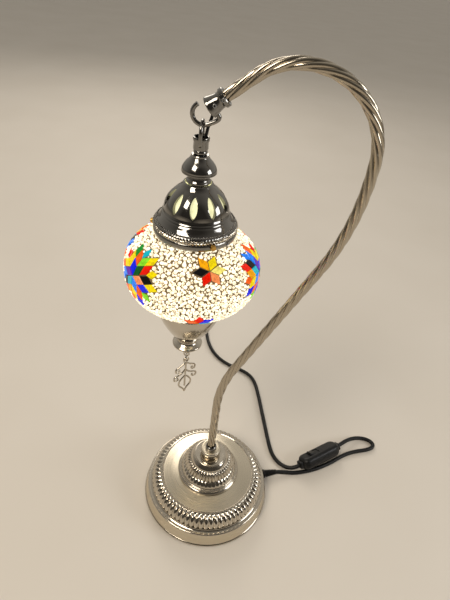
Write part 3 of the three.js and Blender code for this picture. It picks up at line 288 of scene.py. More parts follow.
def finished(name, shell, material, body="stand", corner=38):
    """Writes a bmesh out as one smooth piece with crisp corners, riding on a body."""
    data = bpy.data.meshes.new(name)
    shell.to_mesh(data)
    shell.free()
    data.shade_smooth()
    data.set_sharp_from_angle(angle=math.radians(corner))
    piece = link_piece(name, data, material)
    if body:
        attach(piece, body)
    return piece


sleeve_outline = [(2.75, SLEEVE_FROM), (4.9, SLEEVE_FROM + 0.2), (5.2, SLEEVE_FROM + 1.2),
                  (4.1, SLEEVE_FROM + 2),
                  (4.0, 74.7), (5.2, 75.1), (5.4, 76), (5.2, 77), (4.6, 77.5)]
for rib in range(SLEEVE_RIBS):
    taper = rib / (SLEEVE_RIBS - 1)
    rib_at = SLEEVE_RIB_FROM + rib * SLEEVE_RIB_PITCH
    rib_r = 4.5 - 1.15 * taper
    sleeve_outline += [(rib_r - 0.55, rib_at), (rib_r, rib_at + 0.35), (rib_r, rib_at + 1.1),
                       (rib_r - 0.55, rib_at + 1.5)]
sleeve_outline += [(3.1, SLEEVE_TO - 0.4), (2.75, SLEEVE_TO)]
sleeve = turned(sleeve_outline, 32)
sleeve.transform(Matrix.Translation((0, 0, EXIT_Z * MM)) @ Matrix.Rotation(EXIT_TURN, 4, "Z")
                 @ Matrix.Rotation(math.pi / 2, 4, "Y"))
relief = finished("cord_sleeve", sleeve, soft_pvc)
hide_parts("strain_relief")

# ---- in-line switch ------------------------------------------------------------
# Two moulded halves of black ABS, screwed together round the flex, with a small rocker
# that tilts on a pin. Both ends have a collar that the flex goes through.
SWITCH_L = 61
SWITCH_W = 21
SWITCH_H = 16
SWITCH_CORNER = 8.6
SWITCH_CROWN = 5.4
ROCKER_X = -9
ROCKER_L = 15
ROCKER_W = 8
ROCKER_GAP_ALONG = 0.6
ROCKER_GAP_ACROSS = 0.5
PIVOT_DEPTH = 3.2
WELL_DEPTH = 6.8
COLLAR_SIZE = (4.4, 9.6, 8.6)
COLLAR_PROUD = 1.2

# Injection-moulded ABS: a slight orange-peel gloss that breaks up the lamp's reflection.
moulded_abs, tree, shader, coords = new_material("moulded_abs", "#070708", 0.4)
mottle(tree, shader, coords, "Roughness", 7, 0.36, 0.5)
shader.inputs["Specular IOR Level"].default_value = 0.35
grained(tree, shader, coords, 1.1, 0.04)


def block(length, width, height, at=(0, 0, 0)):
    """A box in millimetres, as a bmesh."""
    box = bmesh.new()
    bmesh.ops.create_cube(box, size=MM)
    bmesh.ops.scale(box, verts=box.verts, vec=(length, width, height))
    bmesh.ops.translate(box, verts=box.verts, vec=Vector(at) * MM)
    return box


def rounded(solid, edges, size, segments=3):
    """Rounds some edges of a bmesh over, by a size in millimetres."""
    bmesh.ops.bevel(solid, geom=edges, offset=size * MM, offset_type="OFFSET", segments=segments,
                    profile=0.5,
                    affect="EDGES", material=-1)


def pushed(solid, grown, way):
    """Moves what an extrusion has just grown, by a vector in millimetres."""
    fresh = [part for part in grown["geom"] if isinstance(part, bmesh.types.BMVert)]
    bmesh.ops.translate(solid, verts=fresh, vec=Vector(way) * MM)


def upright(edge):
    """Tells whether an edge runs straight up."""
    return abs(edge.verts[0].co.z - edge.verts[1].co.z) > 0.9 * edge.calc_length()


def casing(side):
    """One half of the switch's casing, its rocker well cut in the upper one."""
    half_h = SWITCH_H / 2
    shell = block(SWITCH_L, SWITCH_W, half_h - 0.1, (0, 0, half_h / 2 + 0.05))
    rounded(shell, [edge for edge in shell.edges if upright(edge)], SWITCH_CORNER, 8)
    crown = [edge for edge in shell.edges if min(v.co.z for v in edge.verts) > (half_h - 0.1) * MM]
    rounded(shell, crown, SWITCH_CROWN, 7)
    if side > 0:
        reach = ROCKER_L / 2 + ROCKER_GAP_ALONG
        width = ROCKER_W / 2 + ROCKER_GAP_ACROSS
        for place, way in (((ROCKER_X - reach, 0, 0), (1, 0, 0)), ((ROCKER_X + reach, 0, 0), (1, 0, 0)),
                           ((0, -width, 0), (0, 1, 0)), ((0, width, 0), (0, 1, 0))):
            bmesh.ops.bisect_plane(shell, geom=shell.verts[:] + shell.edges[:] + shell.faces[:],
                                   plane_co=Vector(place) * MM, plane_no=way, dist=0.001 * MM)
        lid = []
        for face in shell.faces:
            middle = face.calc_center_median() / MM
            if (face.normal.z > 0.99 and middle.z > half_h * 0.9 and abs(middle.x - ROCKER_X) < reach
                    and abs(middle.y) < width):
                lid.append(face)
        pushed(shell, bmesh.ops.extrude_face_region(shell, geom=lid), (0, 0, -WELL_DEPTH))
        bmesh.ops.delete(shell, geom=lid, context="FACES_ONLY")
    else:
        shell.transform(Matrix.Rotation(math.pi, 4, "X"))
    return shell


switch_mm = Matrix.Translation(SWITCH_AT * MM) @ switch_turn
for side, half_name in ((1, "upper"), (-1, "lower")):
    half = casing(side)
    bmesh.ops.recalc_face_normals(half, faces=half.faces)
    half.transform(switch_mm)
    shell_piece = finished("switch_half_" + half_name, half, moulded_abs)
    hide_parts("switch_" + half_name)

for end in (-1, 1):
    collar = block(*COLLAR_SIZE, (end * (SWITCH_L / 2 + COLLAR_PROUD), 0, 0))
    rounded(collar, collar.edges[:], 1.1, 3)
    collar.transform(switch_mm)
    end_name = "near" if end < 0 else "far"
    finished("switch_collar_" + end_name, collar, moulded_abs)

pivot_z = SWITCH_H / 2 - PIVOT_DEPTH
rocker = bmesh.new()
rocker_side = [(-7.5, 1.2), (-6.4, -1.2), (-3.6, -2.7), (0, -3), (3.6, -2.6), (6.2, -1.6), (7.5, -0.4),
               (7.5, 2.9), (3.6, 2.9), (0, 3.3), (-3.6, 4.6), (-6.9, 6.4)]
corners = [rocker.verts.new(Vector((ROCKER_X + x, -ROCKER_W / 2, pivot_z + z)) * MM)
           for x, z in rocker_side]
cheek = rocker.faces.new(corners)
pushed(rocker, bmesh.ops.extrude_face_region(rocker, geom=[cheek]), (0, ROCKER_W, 0))
bmesh.ops.recalc_face_normals(rocker, faces=rocker.faces)
rounded(rocker, rocker.edges[:], 0.35, 2)
rocker.transform(switch_mm)
rocker_piece = finished("switch_key", rocker, moulded_abs, "rocker")
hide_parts("switch_rocker")

# ---- coil tie and plug -----------------------------------------------------------
# A soft strap holds the wound flex. The plug is moulded on, flat and two-pinned, and
# narrows to where the flex goes in. The pins are nickel-plated brass.
TIE_CLEAR = 2.75
TIE_T = 0.75
TIE_W = 5
PLUG_NECK_SHARE = 0.66
PLUG_NECK_IN = 0.52

# The tie's inside runs round the three corner turns of the wound bundle.
tie = bmesh.new()
tie_dots = []
for (turn_r, turn_z), first in ((coil_turns[2], 150), (coil_turns[0], 270), (coil_turns[-1], 30)):
    for step in range(7):
        around = math.radians(first + step * 20)
        spot = Vector((COIL_AT.x - TIE_W / 2, COIL_AT.y + turn_r + TIE_CLEAR * math.cos(around),
                       turn_z + TIE_CLEAR * math.sin(around)))
        tie_dots.append(tie.verts.new(spot * MM))
tie_edges = [tie.edges.new(pair) for pair in zip(tie_dots, tie_dots[1:] + tie_dots[:1])]
pushed(tie, bmesh.ops.extrude_edge_only(tie, edges=tie_edges), (TIE_W, 0, 0))
bmesh.ops.recalc_face_normals(tie, faces=tie.faces)
bmesh.ops.solidify(tie, geom=tie.faces[:], thickness=TIE_T * MM)
tie_piece = finished("coil_strap", tie, soft_pvc)
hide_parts("cord_tie")

plug_mid = (plug_low + plug_high) / 2 / MM
plug_size = (plug_high - plug_low) / MM
plug = block(plug_size.x, plug_size.y, plug_size.z, plug_mid)
long_edges = [edge for edge in plug.edges if abs(edge.verts[0].co.x - edge.verts[1].co.x) > 10 * MM]
bmesh.ops.subdivide_edges(plug, edges=long_edges, cuts=2)
for vert in plug.verts:
    back = 1 - min(1.0, max(0.0, (vert.co.x - plug_low.x) / (plug_size.x * MM * PLUG_NECK_SHARE)))
    vert.co.y = plug_mid.y * MM + (vert.co.y - plug_mid.y * MM) * (1 - PLUG_NECK_IN * back ** 1.3)
rounded(plug, [edge for edge in plug.edges if edge.is_manifold and edge.calc_face_angle(0) > 0.5], 2.4, 4)
plug_piece = finished("plug_moulding", plug, moulded_abs)
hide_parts("plug_body")

# Nickel plate over brass: bright and slightly yellow, scuffed along the pins.
plated_pins, tree, shader, coords = new_material("plated_brass_pins", "#cfc7b2", 0.22, 1.0)
mottle(tree, shader, coords, "Roughness", 2.5, 0.14, 0.38)
pins = [bpy.data.objects["plug_pin_1"], bpy.data.objects["plug_pin_2"]]
for pin in pins:
    pin.material_slots[0].material = plated_pins

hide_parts("cord_lead")
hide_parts("cord_tail", "cord_coil", "cord_end")

# ---- base ------------------------------------------------------------------------
# A round foot pressed from thin steel and nickel plated: a stepped rim, a beaded edge, a
# ring of ribs all round, and a wide satin top that was spun bright. Cast iron weights it.
BASE_STEPS = 432
BASE_RIBS = 72
BASE_RIB_DEPTH = 1.5
RIB_LOW = (65.9, 23.8)
RIB_HIGH = (55.6, 36.6)
SCALLOP_FROM_Z = 33.2
SCALLOP_R = (55.3, 63)
SCALLOP_DEPTH = 1.1


def smooth_line(points, cuts=4):
    """Puts points on a smooth curve through an outline's points, cuts to each stretch."""
    line = []
    ends = [points[0], *points, points[-1]]
    for a, b, c, d in zip(ends, ends[1:], ends[2:], ends[3:]):
        for step in range(cuts):
            t = step / cuts
            line.append(tuple(0.5 * (2 * q + (r - p) * t + (2 * p - 5 * q + 4 * r - s) * t * t
                                     + (3 * q - p - 3 * r + s) * t ** 3) for p, q, r, s in zip(a, b, c, d)))
    return line + [points[-1]]


def ribbed(shell, low, high, count, depth, at_x=0.0, sharp=1.0, least_r=0.0):
    """Raises upright ribs on a turned shell's outer side, between two heights in millimetres."""
    for vert in shell.verts:
        x = vert.co.x - at_x * MM
        z = vert.co.z / MM
        r = math.hypot(x, vert.co.y)
        if low < z < high and r > least_r * MM:
            share = (z - low) / (high - low)
            fade = min(1.0, math.sin(math.pi * share) * 4)
            lobe = abs(math.cos(count * math.atan2(vert.co.y, x) / 2)) ** sharp
            grow = 1 + depth * MM * fade * (lobe - 0.35) / r
            vert.co.x = at_x * MM + x * grow
            vert.co.y *= grow


def studded(shell, stud, places):
    """Adds a copy of one small stud to a shell at each of its places."""
    corners = [vert.co.copy() for vert in stud.verts]
    sides = [[vert.index for vert in face.verts] for face in stud.faces]
    spots, faces = [], []
    for place in places:
        first = len(spots)
        spots += [place @ corner for corner in corners]
        faces += [[first + index for index in side] for side in sides]
    copies = bpy.data.meshes.new("studs")
    copies.from_pydata(spots, [], faces)
    shell.from_mesh(copies)
    bpy.data.meshes.remove(copies)


def bead_row(shell, count, radius, z, size, at_x=0.0):
    """Sets a row of small round beads on a turned shell, sizes in millimetres."""
    bead = bmesh.new()
    bmesh.ops.create_uvsphere(bead, u_segments=8, v_segments=5, radius=size * MM)
    bead.verts.index_update()
    middle = Matrix.Translation((at_x * MM, 0, z * MM))
    outwards = Matrix.Translation((radius * MM, 0, 0))
    studded(shell, bead, [middle @ Matrix.Rotation(2 * math.pi * number / count, 4, "Z") @ outwards
                          for number in range(count)])
    bead.free()


base_line = [(72.4, 0.7), (74.2, 0.7), (75, 1.4), (75.2, 2.4), (74.8, 3.3), (74, 3.8), (73.8, 4.6)]
base_line += smooth_line([(73.4, 6), (72.2, 9.5), (71.2, 13.5), (70.7, 17)], 4)
base_line += smooth_line([(70.9, 17.6), (71.5, 18.5), (71.3, 19.7), (70.4, 20.3), (69.2, 20.2)], 3)
base_line += smooth_line([(68.4, 20.3), (67, 21), (66.1, 22.2), RIB_LOW], 3)
base_line += smooth_line([RIB_LOW, (65.7, 26.2), (64.4, 29.8), (62, 33.2), (58.9, 35.6), RIB_HIGH], 5)[1:]
base_line += [(55.2, 37.4), (54.4, 37.6), (53.8, 37.1), (53.5, 36.9)]
base_line += smooth_line([(53, 36.9), (48, 38.0), (43, 39.1), (38.4, 39.9), (36.4, 40.2)], 4)
base_line += [(34, 40.2), (34, 39.2)]
base_line += [(38, 38.6), (47, 36.9), (53.6, 35.6), (58, 34), (61, 31.5), (63, 28.4), (64, 24),
              (65.4, 20.5),
              (68.6, 18.2), (69.2, 15), (70, 10), (71.5, 5)]
base = turned(base_line, BASE_STEPS)
ribbed(base, RIB_LOW[1], RIB_HIGH[1], BASE_RIBS, BASE_RIB_DEPTH, least_r=55, sharp=0.8)
for vert in base.verts:
    z = vert.co.z / MM
    r = math.hypot(vert.co.x, vert.co.y) / MM
    if SCALLOP_FROM_Z < z < RIB_HIGH[1] and SCALLOP_R[0] < r < SCALLOP_R[1]:
        lobe = abs(math.cos(BASE_RIBS * math.atan2(vert.co.y, vert.co.x) / 2))
        fade = min(1.0, (r - SCALLOP_R[0]) / 2) * min(1.0, (SCALLOP_R[1] - r) / 2)
        vert.co.z -= SCALLOP_DEPTH * MM * (1 - lobe) * fade
bead_row(base, 200, 72.4, 9.4, 0.42)
bead_row(base, 240, 53.7, 37.3, 0.42)

# Nickel plate on pressed steel, buffed: a warm bright mirror, slightly uneven from the
# buffing wheel, with the fine haze that handling leaves.
bright_nickel, tree, shader, coords = new_material("buffed_nickel_plate", "#c6beb0", 0.1, 1.0)
mottle(tree, shader, coords, "Roughness", 14, 0.08, 0.2)
grained(tree, shader, coords, 5, 0.05, 1.0)

# The same plate left satin by a fine abrasive while the foot spun, so that the light is
# drawn out across the fine circular lines. The lines are drawn coarser than the real grit.
satin_nickel, tree, shader, coords = new_material("spun_satin_nickel", "#d6ccb8", 0.3, 1.0)
place = add_node(tree, "SeparateXYZ", {"Vector": coords})
sideways = add_node(tree, "Math", {0: place.outputs["X"], 1: place.outputs["X"]}, operation="MULTIPLY")
squares = add_node(tree, "Math", {0: place.outputs["Y"], 1: place.outputs["Y"],
                                  2: sideways.outputs["Value"]},
                   operation="MULTIPLY_ADD")
from_middle = add_node(tree, "Math", {0: squares.outputs["Value"]}, operation="SQRT")
lines = add_node(tree, "CombineXYZ", {"X": from_middle.outputs["Value"]})
grit = grained(tree, shader, lines.outputs["Vector"], 0.45, 0.02, 4.0)
spread = add_node(tree, "MapRange", {"Value": grit, "From Min": 0.3, "From Max": 0.7,
                                     "To Min": 0.25, "To Max": 0.33})
tree.links.new(spread.outputs["Result"], shader.inputs["Roughness"])
around = add_node(tree, "Tangent", direction_type="RADIAL", axis="Z")
tree.links.new(around.outputs["Tangent"], shader.inputs["Tangent"])
shader.inputs["Anisotropic"].default_value = 0.7


def second_finish(piece, material, belongs):
    """Gives the faces that pass a test, by their middle's radius and height, another finish."""
    piece.data.materials.append(material)
    for face in piece.data.polygons:
        middle = face.center / MM
        if belongs(math.hypot(middle.x, middle.y), middle.z):
            face.material_index = 1


base_piece = finished("base_pressing", base, bright_nickel)
second_finish(base_piece, satin_nickel, lambda r, z: (z > 36.9 and r < 53.2) or (4 < z < 17.4 and r > 70))
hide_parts("base_shell")

# ---- weight, felt and clamp under the base ------------------------------------------
# A sand-cast iron disc gives the foot its weight, and a felt pad is glued under it. A
# zinc-plated nut and washer on the hollow rod clamp everything together.

# Sand-cast iron, painted dark grey: matt and grainy as the sand left it.
cast_iron, tree, shader, coords = new_material("sand_cast_iron", "#3b3b3d", 0.7, 0.5)
mottle(tree, shader, coords, "Roughness", 2.2, 0.58, 0.85)
grained(tree, shader, coords, 2.2, 0.35, 3.0)


def clouded(tree, pattern, dark, pale, *sockets):
    """Lets a colour wander between two in step with a pattern, into the sockets given."""
    ramp = add_node(tree, "ValToRGB", {"Fac": pattern})
    for stop, colour in zip(ramp.color_ramp.elements, (dark, pale)):
        stop.color = paint(colour)
    for socket in sockets:
        tree.links.new(ramp.outputs["Color"], socket)
    return ramp


# Pressed wool felt, dark green: no shine, with a short nap that catches a little light.
wool_felt, tree, shader, coords = new_material("pressed_felt", "#22342a", 0.95)
fibre_tone_and_shade = grained(tree, shader, coords, 0.7, 0.25, 5.0)
# The colour follows the nap's height, darker in its hollows and paler on top: partly fibre tone, partly
# painted shade.
clouded(tree, fibre_tone_and_shade, "#1a2a21", "#33493b", shader.inputs["Base Color"])
shader.inputs["Sheen Weight"].default_value = 0.4

# Bright zinc plate on turned steel: pale, faintly blue, with dull patches.
zinc_plate, tree, shader, coords = new_material("zinc_plated_steel", "#a9adb1", 0.32, 1.0)
mottle(tree, shader, coords, "Roughness", 1.8, 0.22, 0.5)


def carried(finish, *nodes):
    """Gives parts whose shape is already right their real finish."""
    for node in nodes:
        bpy.data.objects[node].material_slots[0].material = finish


carried(cast_iron, "base_weight")
carried(wool_felt, "felt_pad")
carried(zinc_plate, "base_washer", "base_locknut", "base_rod", "cord_grip_1", "cord_grip_2")

# ---- centre dome and collar ----------------------------------------------------------
# The dome in the middle of the foot is pressed like it: a stepped foot, a low zone of
# leaves, a band of plump ribs and a plain shoulder. A turned collar closes its top.
DOME_STEPS = 360
LEAVES = 40
LEAF_ZONE = (47.6, 54.9)
PLUMP_RIBS = 44
PLUMP_ZONE = (55.0, 65.6)

dome_line = [(34.6, 40.5), (35.8, 40.6), (36, 42.2), (35.2, 43.6), (34, 44.1)]
dome_line += smooth_line([(33.7, 44.4), (34.2, 45.4), (33.6, 46.7), (32.5, 47)], 3)
dome_line += smooth_line([(32.1, 47.6), (31.4, 49.8), (29.4, 52.8), (27.3, 54.8)], 5)
dome_line += smooth_line([(26.9, 55.1), (27.6, 56.2), (27.3, 57.8), (26, 60.6), (24.2, 63.4), (22.4, 65)],
                         5)
dome_line += smooth_line([(21.9, 65.5), (21.6, 66.8), (20, 69.2), (18.4, 70.9)], 4)
dome_line += smooth_line([(18.2, 71.2), (18.3, 71.9), (17.5, 72.5), (16, 72.5)], 3)
dome_line += [(6, 72.5), (6, 71.4), (15.6, 71.2), (19.4, 67.6), (22, 63), (24.6, 57.4), (28.2, 51),
              (31, 46), (33.2, 42.4)]
dome = turned(dome_line, DOME_STEPS)
ribbed(dome, *LEAF_ZONE, LEAVES, 0.8, least_r=26, sharp=0.7)
ribbed(dome, *PLUMP_ZONE, PLUMP_RIBS, 2.0, least_r=21.5, sharp=0.8)
bead_row(dome, 120, 34.0, 44.2, 0.45)
dome_piece = finished("dome_pressing", dome, bright_nickel, corner=50)
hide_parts("centre_dome")

collar_line = smooth_line([(4.75, 72.8), (8.6, 72.8), (8.4, 73.9), (9.8, 74.9), (11.1, 76.6), (11.4, 79),
                           (11.2, 81.2),
                           (10.5, 82.3)], 4)
collar_line += [(10.0, 82.6), (9.2, 82.6), (9.0, 82.3), (6.6, 82.3), (6.5, 82.6), (4.75, 82.6)]
collar_piece = finished("collar_turning", turned(collar_line, 96), bright_nickel)
second_finish(collar_piece, satin_nickel, lambda r, z: z > 82.1)
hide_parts("dome_collar")

# ---- arm --------------------------------------------------------------------------------
# One length of thin nickel-plated steel tube, drawn with six rounded flutes and twisted
# like a rope, then bent: a plumb foot, a long lean, a wide shoulder, a crown and a nose.
ARM_R = 4.45
ARM_LOW = 77.6
ARM_SEGMENTS = 36
ARM_STEP = 1.9
TWIST_PITCH = 88
FLUTES = 6
FLUTE_DEPTH = 0.95
RISE_TO = 157
LEAN = math.radians(24)
FOOT_BEND_R = 146
LEAN_LENGTH = 138
SHOULDER_R = 202
PLUMB_LENGTH = 7
CROWN_R = 59.5
NOSE_R = 48
NOSE_TURN = math.radians(39)
NOSE_LENGTH = 26

# The centreline goes stretch by stretch: each is a length and how far it turns to the left.
arm_stretches = [(RISE_TO - ARM_LOW, 0.0), (FOOT_BEND_R * LEAN, -LEAN), (LEAN_LENGTH, 0.0),
                 (SHOULDER_R * LEAN, LEAN),
                 (PLUMB_LENGTH, 0.0), (CROWN_R * math.pi / 2, math.pi / 2),
                 (NOSE_R * NOSE_TURN, NOSE_TURN), (NOSE_LENGTH, 0.0)]
at = Vector((0, 0, ARM_LOW))
heading = 0.0
arm_line = [(at.copy(), heading)]
for length, turn in arm_stretches:
    count = max(1, round(length / ARM_STEP))
    for step in range(count):
        half_turn = turn / count / 2
        heading += half_turn
        chord = length / count * (math.sin(half_turn) / half_turn if half_turn else 1)
        at = at + Vector((-math.sin(heading), 0, math.cos(heading))) * chord
        heading += half_turn
        arm_line.append((at.copy(), heading))
arm_end = at
nose_way = Vector((-math.sin(heading), 0, math.cos(heading)))


def ring_on_arm(place, way, spin):
    """Where a ring of the tube stands: its middle, its heading, and its twist."""
    return Matrix.Translation(place * MM) @ Matrix.Rotation(-way, 4, "Y") @ Matrix.Rotation(spin, 4, "Z")


def rope_r(around):
    """The tube's outer radius round its section, six rounded flutes with sharp valleys."""
    return ARM_R - FLUTE_DEPTH * (1 - abs(math.cos(FLUTES * around / 2)) ** 0.75)


arm = bmesh.new()
dots = []
for step in range(ARM_SEGMENTS):
    around = 2 * math.pi * step / ARM_SEGMENTS
    dots.append(arm.verts.new(Vector((math.cos(around), math.sin(around), 0)) * rope_r(around) * MM))
ring = [arm.edges.new(pair) for pair in zip(dots, dots[1:] + dots[:1])]
first_ring = ring
run = 0.0
stand_at = ring_on_arm(*arm_line[0], 0.0)
bmesh.ops.transform(arm, matrix=stand_at, verts=dots)
for (before, _), (place, way) in zip(arm_line, arm_line[1:]):
    run += (place - before).length
    pulled = bmesh.ops.extrude_edge_only(arm, edges=ring)["geom"]
    ring = [part for part in pulled if isinstance(part, bmesh.types.BMEdge)]
    new_at = ring_on_arm(place, way, -2 * math.pi * run / TWIST_PITCH)
    bmesh.ops.transform(arm, matrix=new_at @ stand_at.inverted(),
                        verts=[part for part in pulled if isinstance(part, bmesh.types.BMVert)])
    stand_at = new_at
for rim in (first_ring, ring):
    bmesh.ops.holes_fill(arm, edges=rim)
bmesh.ops.recalc_face_normals(arm, faces=arm.faces)

# Nickel plate on drawn tube, its colour a little browner and darker than the foot's as a painted reflection
# of the dark room, with soft marks of the drawing.
rope_nickel, tree, shader, coords = new_material("twisted_nickel_tube", "#b3a998", 0.1, 1.0)
mottle(tree, shader, coords, "Roughness", 20, 0.1, 0.24)
grained(tree, shader, coords, 2.4, 0.04)
arm_piece = finished("arm_rope_tube", arm, rope_nickel, corner=60)
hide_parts("arm_tube")

foot_nut_line = [(4.75, 82.9), (6.2, 82.9), (6.3, 83.5), (6.3, 85.4), (5.9, 86.4), (5.3, 87.2),
                 (4.9, 87.4), (4.75, 87.2)]
# Nickel plate over zinc castings and spinnings, polished to a mirror. Its colour is painted
# darker than the foot's, a painted reflection of the dark room.
mirror_nickel_painted_dark, tree, shader, coords = new_material("nickel_plate_painted_dark_reflection", "#85837f", 0.08, 1.0)
mottle(tree, shader, coords, "Roughness", 11, 0.04, 0.14)
grained(tree, shader, coords, 6, 0.06, 1.0)
foot_nut = finished("arm_foot_ring", turned(foot_nut_line, 48), mirror_nickel_painted_dark)
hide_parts("arm_foot_nut")

# ---- ferrule, screws and hook ---------------------------------------------------------------
# A turned trumpet closes the arm's end, held by small screws. A bent wire hook leaves its
# mouth and curls round under it.
FERRULE_R = 6.7
MOUTH_R = 7.5
MOUTH_AT = 10.5
HOOK_WIRE = 1.6
HOOK_R = 7.4
HOOK_TIP = 122
HOOK_HEEL = 290


def on_nose(x, y, z):
    """A point along the nose's own axis, in the lamp's millimetres."""
    return arm_end + Vector((-nose_way.z * x, y, nose_way.x * x)) + nose_way * z


def tilted(shell):
    """Stands a turned piece on the arm's end, along the nose."""
    turn = Vector((0, 0, 1)).rotation_difference(nose_way).to_matrix().to_4x4()
    shell.transform(Matrix.Translation(arm_end * MM) @ turn)
    return shell


ferrule_line = [(4.7, -3.2), (6.2, -3.2), (FERRULE_R, -2.7), (FERRULE_R, -0.4), (6.2, 0.1), (5.7, 0.6)]
ferrule_line += smooth_line([(5.5, 1.2), (5.6, 2.6), (6.2, 5.2), (7.0, 8.0)], 4)
ferrule_line += [(7.35, 9.0), (MOUTH_R, 9.7), (MOUTH_R, 10.2), (7.2, MOUTH_AT), (6.5, MOUTH_AT),
                 (6.1, 9.4), (5.2, 4),
                 (4.7, 2)]
ferrule = tilted(turned(ferrule_line, 72))
ferrule_piece = finished("ferrule_trumpet", ferrule, mirror_nickel_painted_dark)
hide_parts("arm_ferrule")
carried(zinc_plate, "ferrule_screw")

# Two grub screws with a socket in each stand just proud of the ferrule's front side.
SCREW_R = 1.45
for number, along, out in ((1, -1.6, FERRULE_R), (2, 5.4, 6.3)):
    grub = bmesh.new()
    bmesh.ops.create_cone(grub, cap_ends=True, segments=24, radius1=SCREW_R * MM,
                          radius2=SCREW_R * MM * 0.9,
                          depth=1.2 * MM)
    crown = [face for face in grub.faces if face.normal.z > 0.9]
    bmesh.ops.inset_region(grub, faces=crown, thickness=0.5 * MM, depth=0)
    pushed(grub, bmesh.ops.extrude_face_region(grub, geom=crown), (0, 0, -0.9))
    bmesh.ops.delete(grub, geom=crown, context="FACES_ONLY")
    bmesh.ops.recalc_face_normals(grub, faces=grub.faces)
    grub.transform(Matrix.Translation(Vector((0, -out - 0.1, along)) * MM)
                   @ Matrix.Rotation(math.pi / 2, 4, "X"))
    finished(f"grub_screw_{number}", tilted(grub), zinc_plate)


def wire(name, points, thick, material, body="stand", closed=False, sides=4):
    """A round wire bent along points in millimetres, made a mesh."""
    curve = bent_rod(name + "_line", points, thick / 2 * MM, sides, 5, closed)
    rod = bpy.data.objects.new(name + "_line", curve)
    bpy.context.collection.objects.link(rod)
    shell = bmesh.new()
    shell.from_mesh(rod.to_mesh())
    rod.to_mesh_clear()
    bpy.data.objects.remove(rod)
    bpy.data.curves.remove(curve)
    bmesh.ops.remove_doubles(shell, verts=shell.verts, dist=0.002 * MM)
    bmesh.ops.recalc_face_normals(shell, faces=shell.faces)
    return finished(name, shell, material, body, 60)


AXIS_X = (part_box("charm_ring")[0].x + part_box("charm_ring")[1].x) / 2 / MM
HOOK_LOW_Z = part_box("hook")[0].z / MM + 1.35
HOOK_MID_Z = HOOK_LOW_Z + HOOK_R
under = Vector((-nose_way.z, 0, nose_way.x))
hook_root = on_nose(5.8, 0, MOUTH_AT * 0.76)
hook_points = []
for degrees in range(HOOK_TIP, HOOK_HEEL + 1, 12):
    around = math.radians(degrees)
    hook_points.append((AXIS_X + HOOK_R * math.cos(around), 0, HOOK_MID_Z + HOOK_R * math.sin(around)))
heel = Vector(hook_points[-1])
heel_way = Vector((-math.sin(math.radians(HOOK_HEEL)), 0, math.cos(math.radians(HOOK_HEEL))))
entry = hook_root + under * 1.6
hook_points += [tuple(heel + heel_way * 3.4), tuple(entry + under * 3.2), tuple(entry), tuple(hook_root)]
hook_piece = wire("hook_wire", hook_points, HOOK_WIRE * 2, mirror_nickel_painted_dark)
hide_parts("hook")

# ---- link, cup and swinging cable ---------------------------------------------------------
# A ring of bent wire rides on the hook and passes through two holes in the cast cup, so
# the pendant can swing both ways. The thin cable hangs slack beside it.
LINK_WIRE = 2.7
LINK_HALF = 7.6
LINK_BAR_HALF = 6.4
LINK_DROP = 13
CABLE_D = 2.6

bar_z = HOOK_LOW_Z - LINK_DROP
link_mid_z = HOOK_LOW_Z + 1.35 + 1.3 + 0.3 - LINK_HALF
half_bar = [(0.3, bar_z), (3, bar_z), (LINK_BAR_HALF, bar_z + 0.2), (LINK_HALF, bar_z + 1.6)]
link_points = [(AXIS_X, y, z) for y, z in half_bar]
for degrees in range(0, 181, 15):
    around = math.radians(degrees)
    link_points.append((AXIS_X, LINK_HALF * math.cos(around), link_mid_z + LINK_HALF * math.sin(around)))
link_points += [(AXIS_X, -y, z) for y, z in reversed(half_bar)]
link_ring_piece = wire("link_wire_ring", link_points, LINK_WIRE, mirror_nickel_painted_dark, "link")
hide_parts("link_ring")

cup_line = [(3, bar_z - 3.6), (5.2, bar_z - 3.6), (5.5, bar_z - 2.6), (5.45, bar_z + 1.8),
            (5.7, bar_z + 2.2),
            (5.9, bar_z + 3), (5.95, bar_z + 4.4), (5.7, bar_z + 5.1), (5.2, bar_z + 5.3),
            (4.7, bar_z + 5.1),
            (4.5, bar_z + 4.4), (4.5, bar_z - 2.4), (3, bar_z - 2.6)]
cup_piece = finished("hanger_cup_casting", turned(cup_line, 60, AXIS_X), mirror_nickel_painted_dark,
                     "pendant")
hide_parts("hanger_cup")

cable_top = on_nose(0, 0, MOUTH_AT - 3)
joint_spot = Vector((AXIS_X + 4.8, 4.4, HOOK_LOW_Z + 1.4))
joint_way = Vector((-0.9, -0.3, -2.6))
upper_run = [tuple(cable_top), tuple(on_nose(-0.4, 1.4, MOUTH_AT + 1.5)),
             (AXIS_X + 7.4, 4.4, HOOK_MID_Z + 4.5),
             (AXIS_X + 6.2, 4.8, HOOK_MID_Z), tuple(joint_spot - joint_way), tuple(joint_spot)]
lower_run = [tuple(joint_spot), tuple(joint_spot + joint_way), (AXIS_X + 3.3, 3.0, HOOK_LOW_Z - 4.4),
             (AXIS_X + 2.6, 1.8, bar_z + 4), (AXIS_X + 2.2, 1.5, bar_z - 0.6)]
upper_flex = wire("swing_flex_upper", upper_run, CABLE_D * 0.9, soft_pvc, None)
lower_flex = wire("swing_flex_lower", lower_run, CABLE_D * 0.9, soft_pvc, None)
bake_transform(upper_flex)
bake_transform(lower_flex)
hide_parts("swing_cable")

# ---- pendant's stem ring, bell, neck and pierced dome ----------------------------------------
# Spun brass covers threaded on one rod, nickel plated and polished, their colour painted dark as
# a painted reflection of the dark room. The dome is cut with a ring of pointed windows that the
# bulb shines through, with a rope band at its rim.
WINDOWS = 10
WINDOW_STEPS = 24
WINDOW_HALF_W = 2.7
WINDOW_HALF_H = 6.75
WINDOW_Z = 392.2
ROPE_TWISTS = 84
ROPE_ZONE = (369.2, 372.6)
PETAL_ZONE = (383.6, 402)

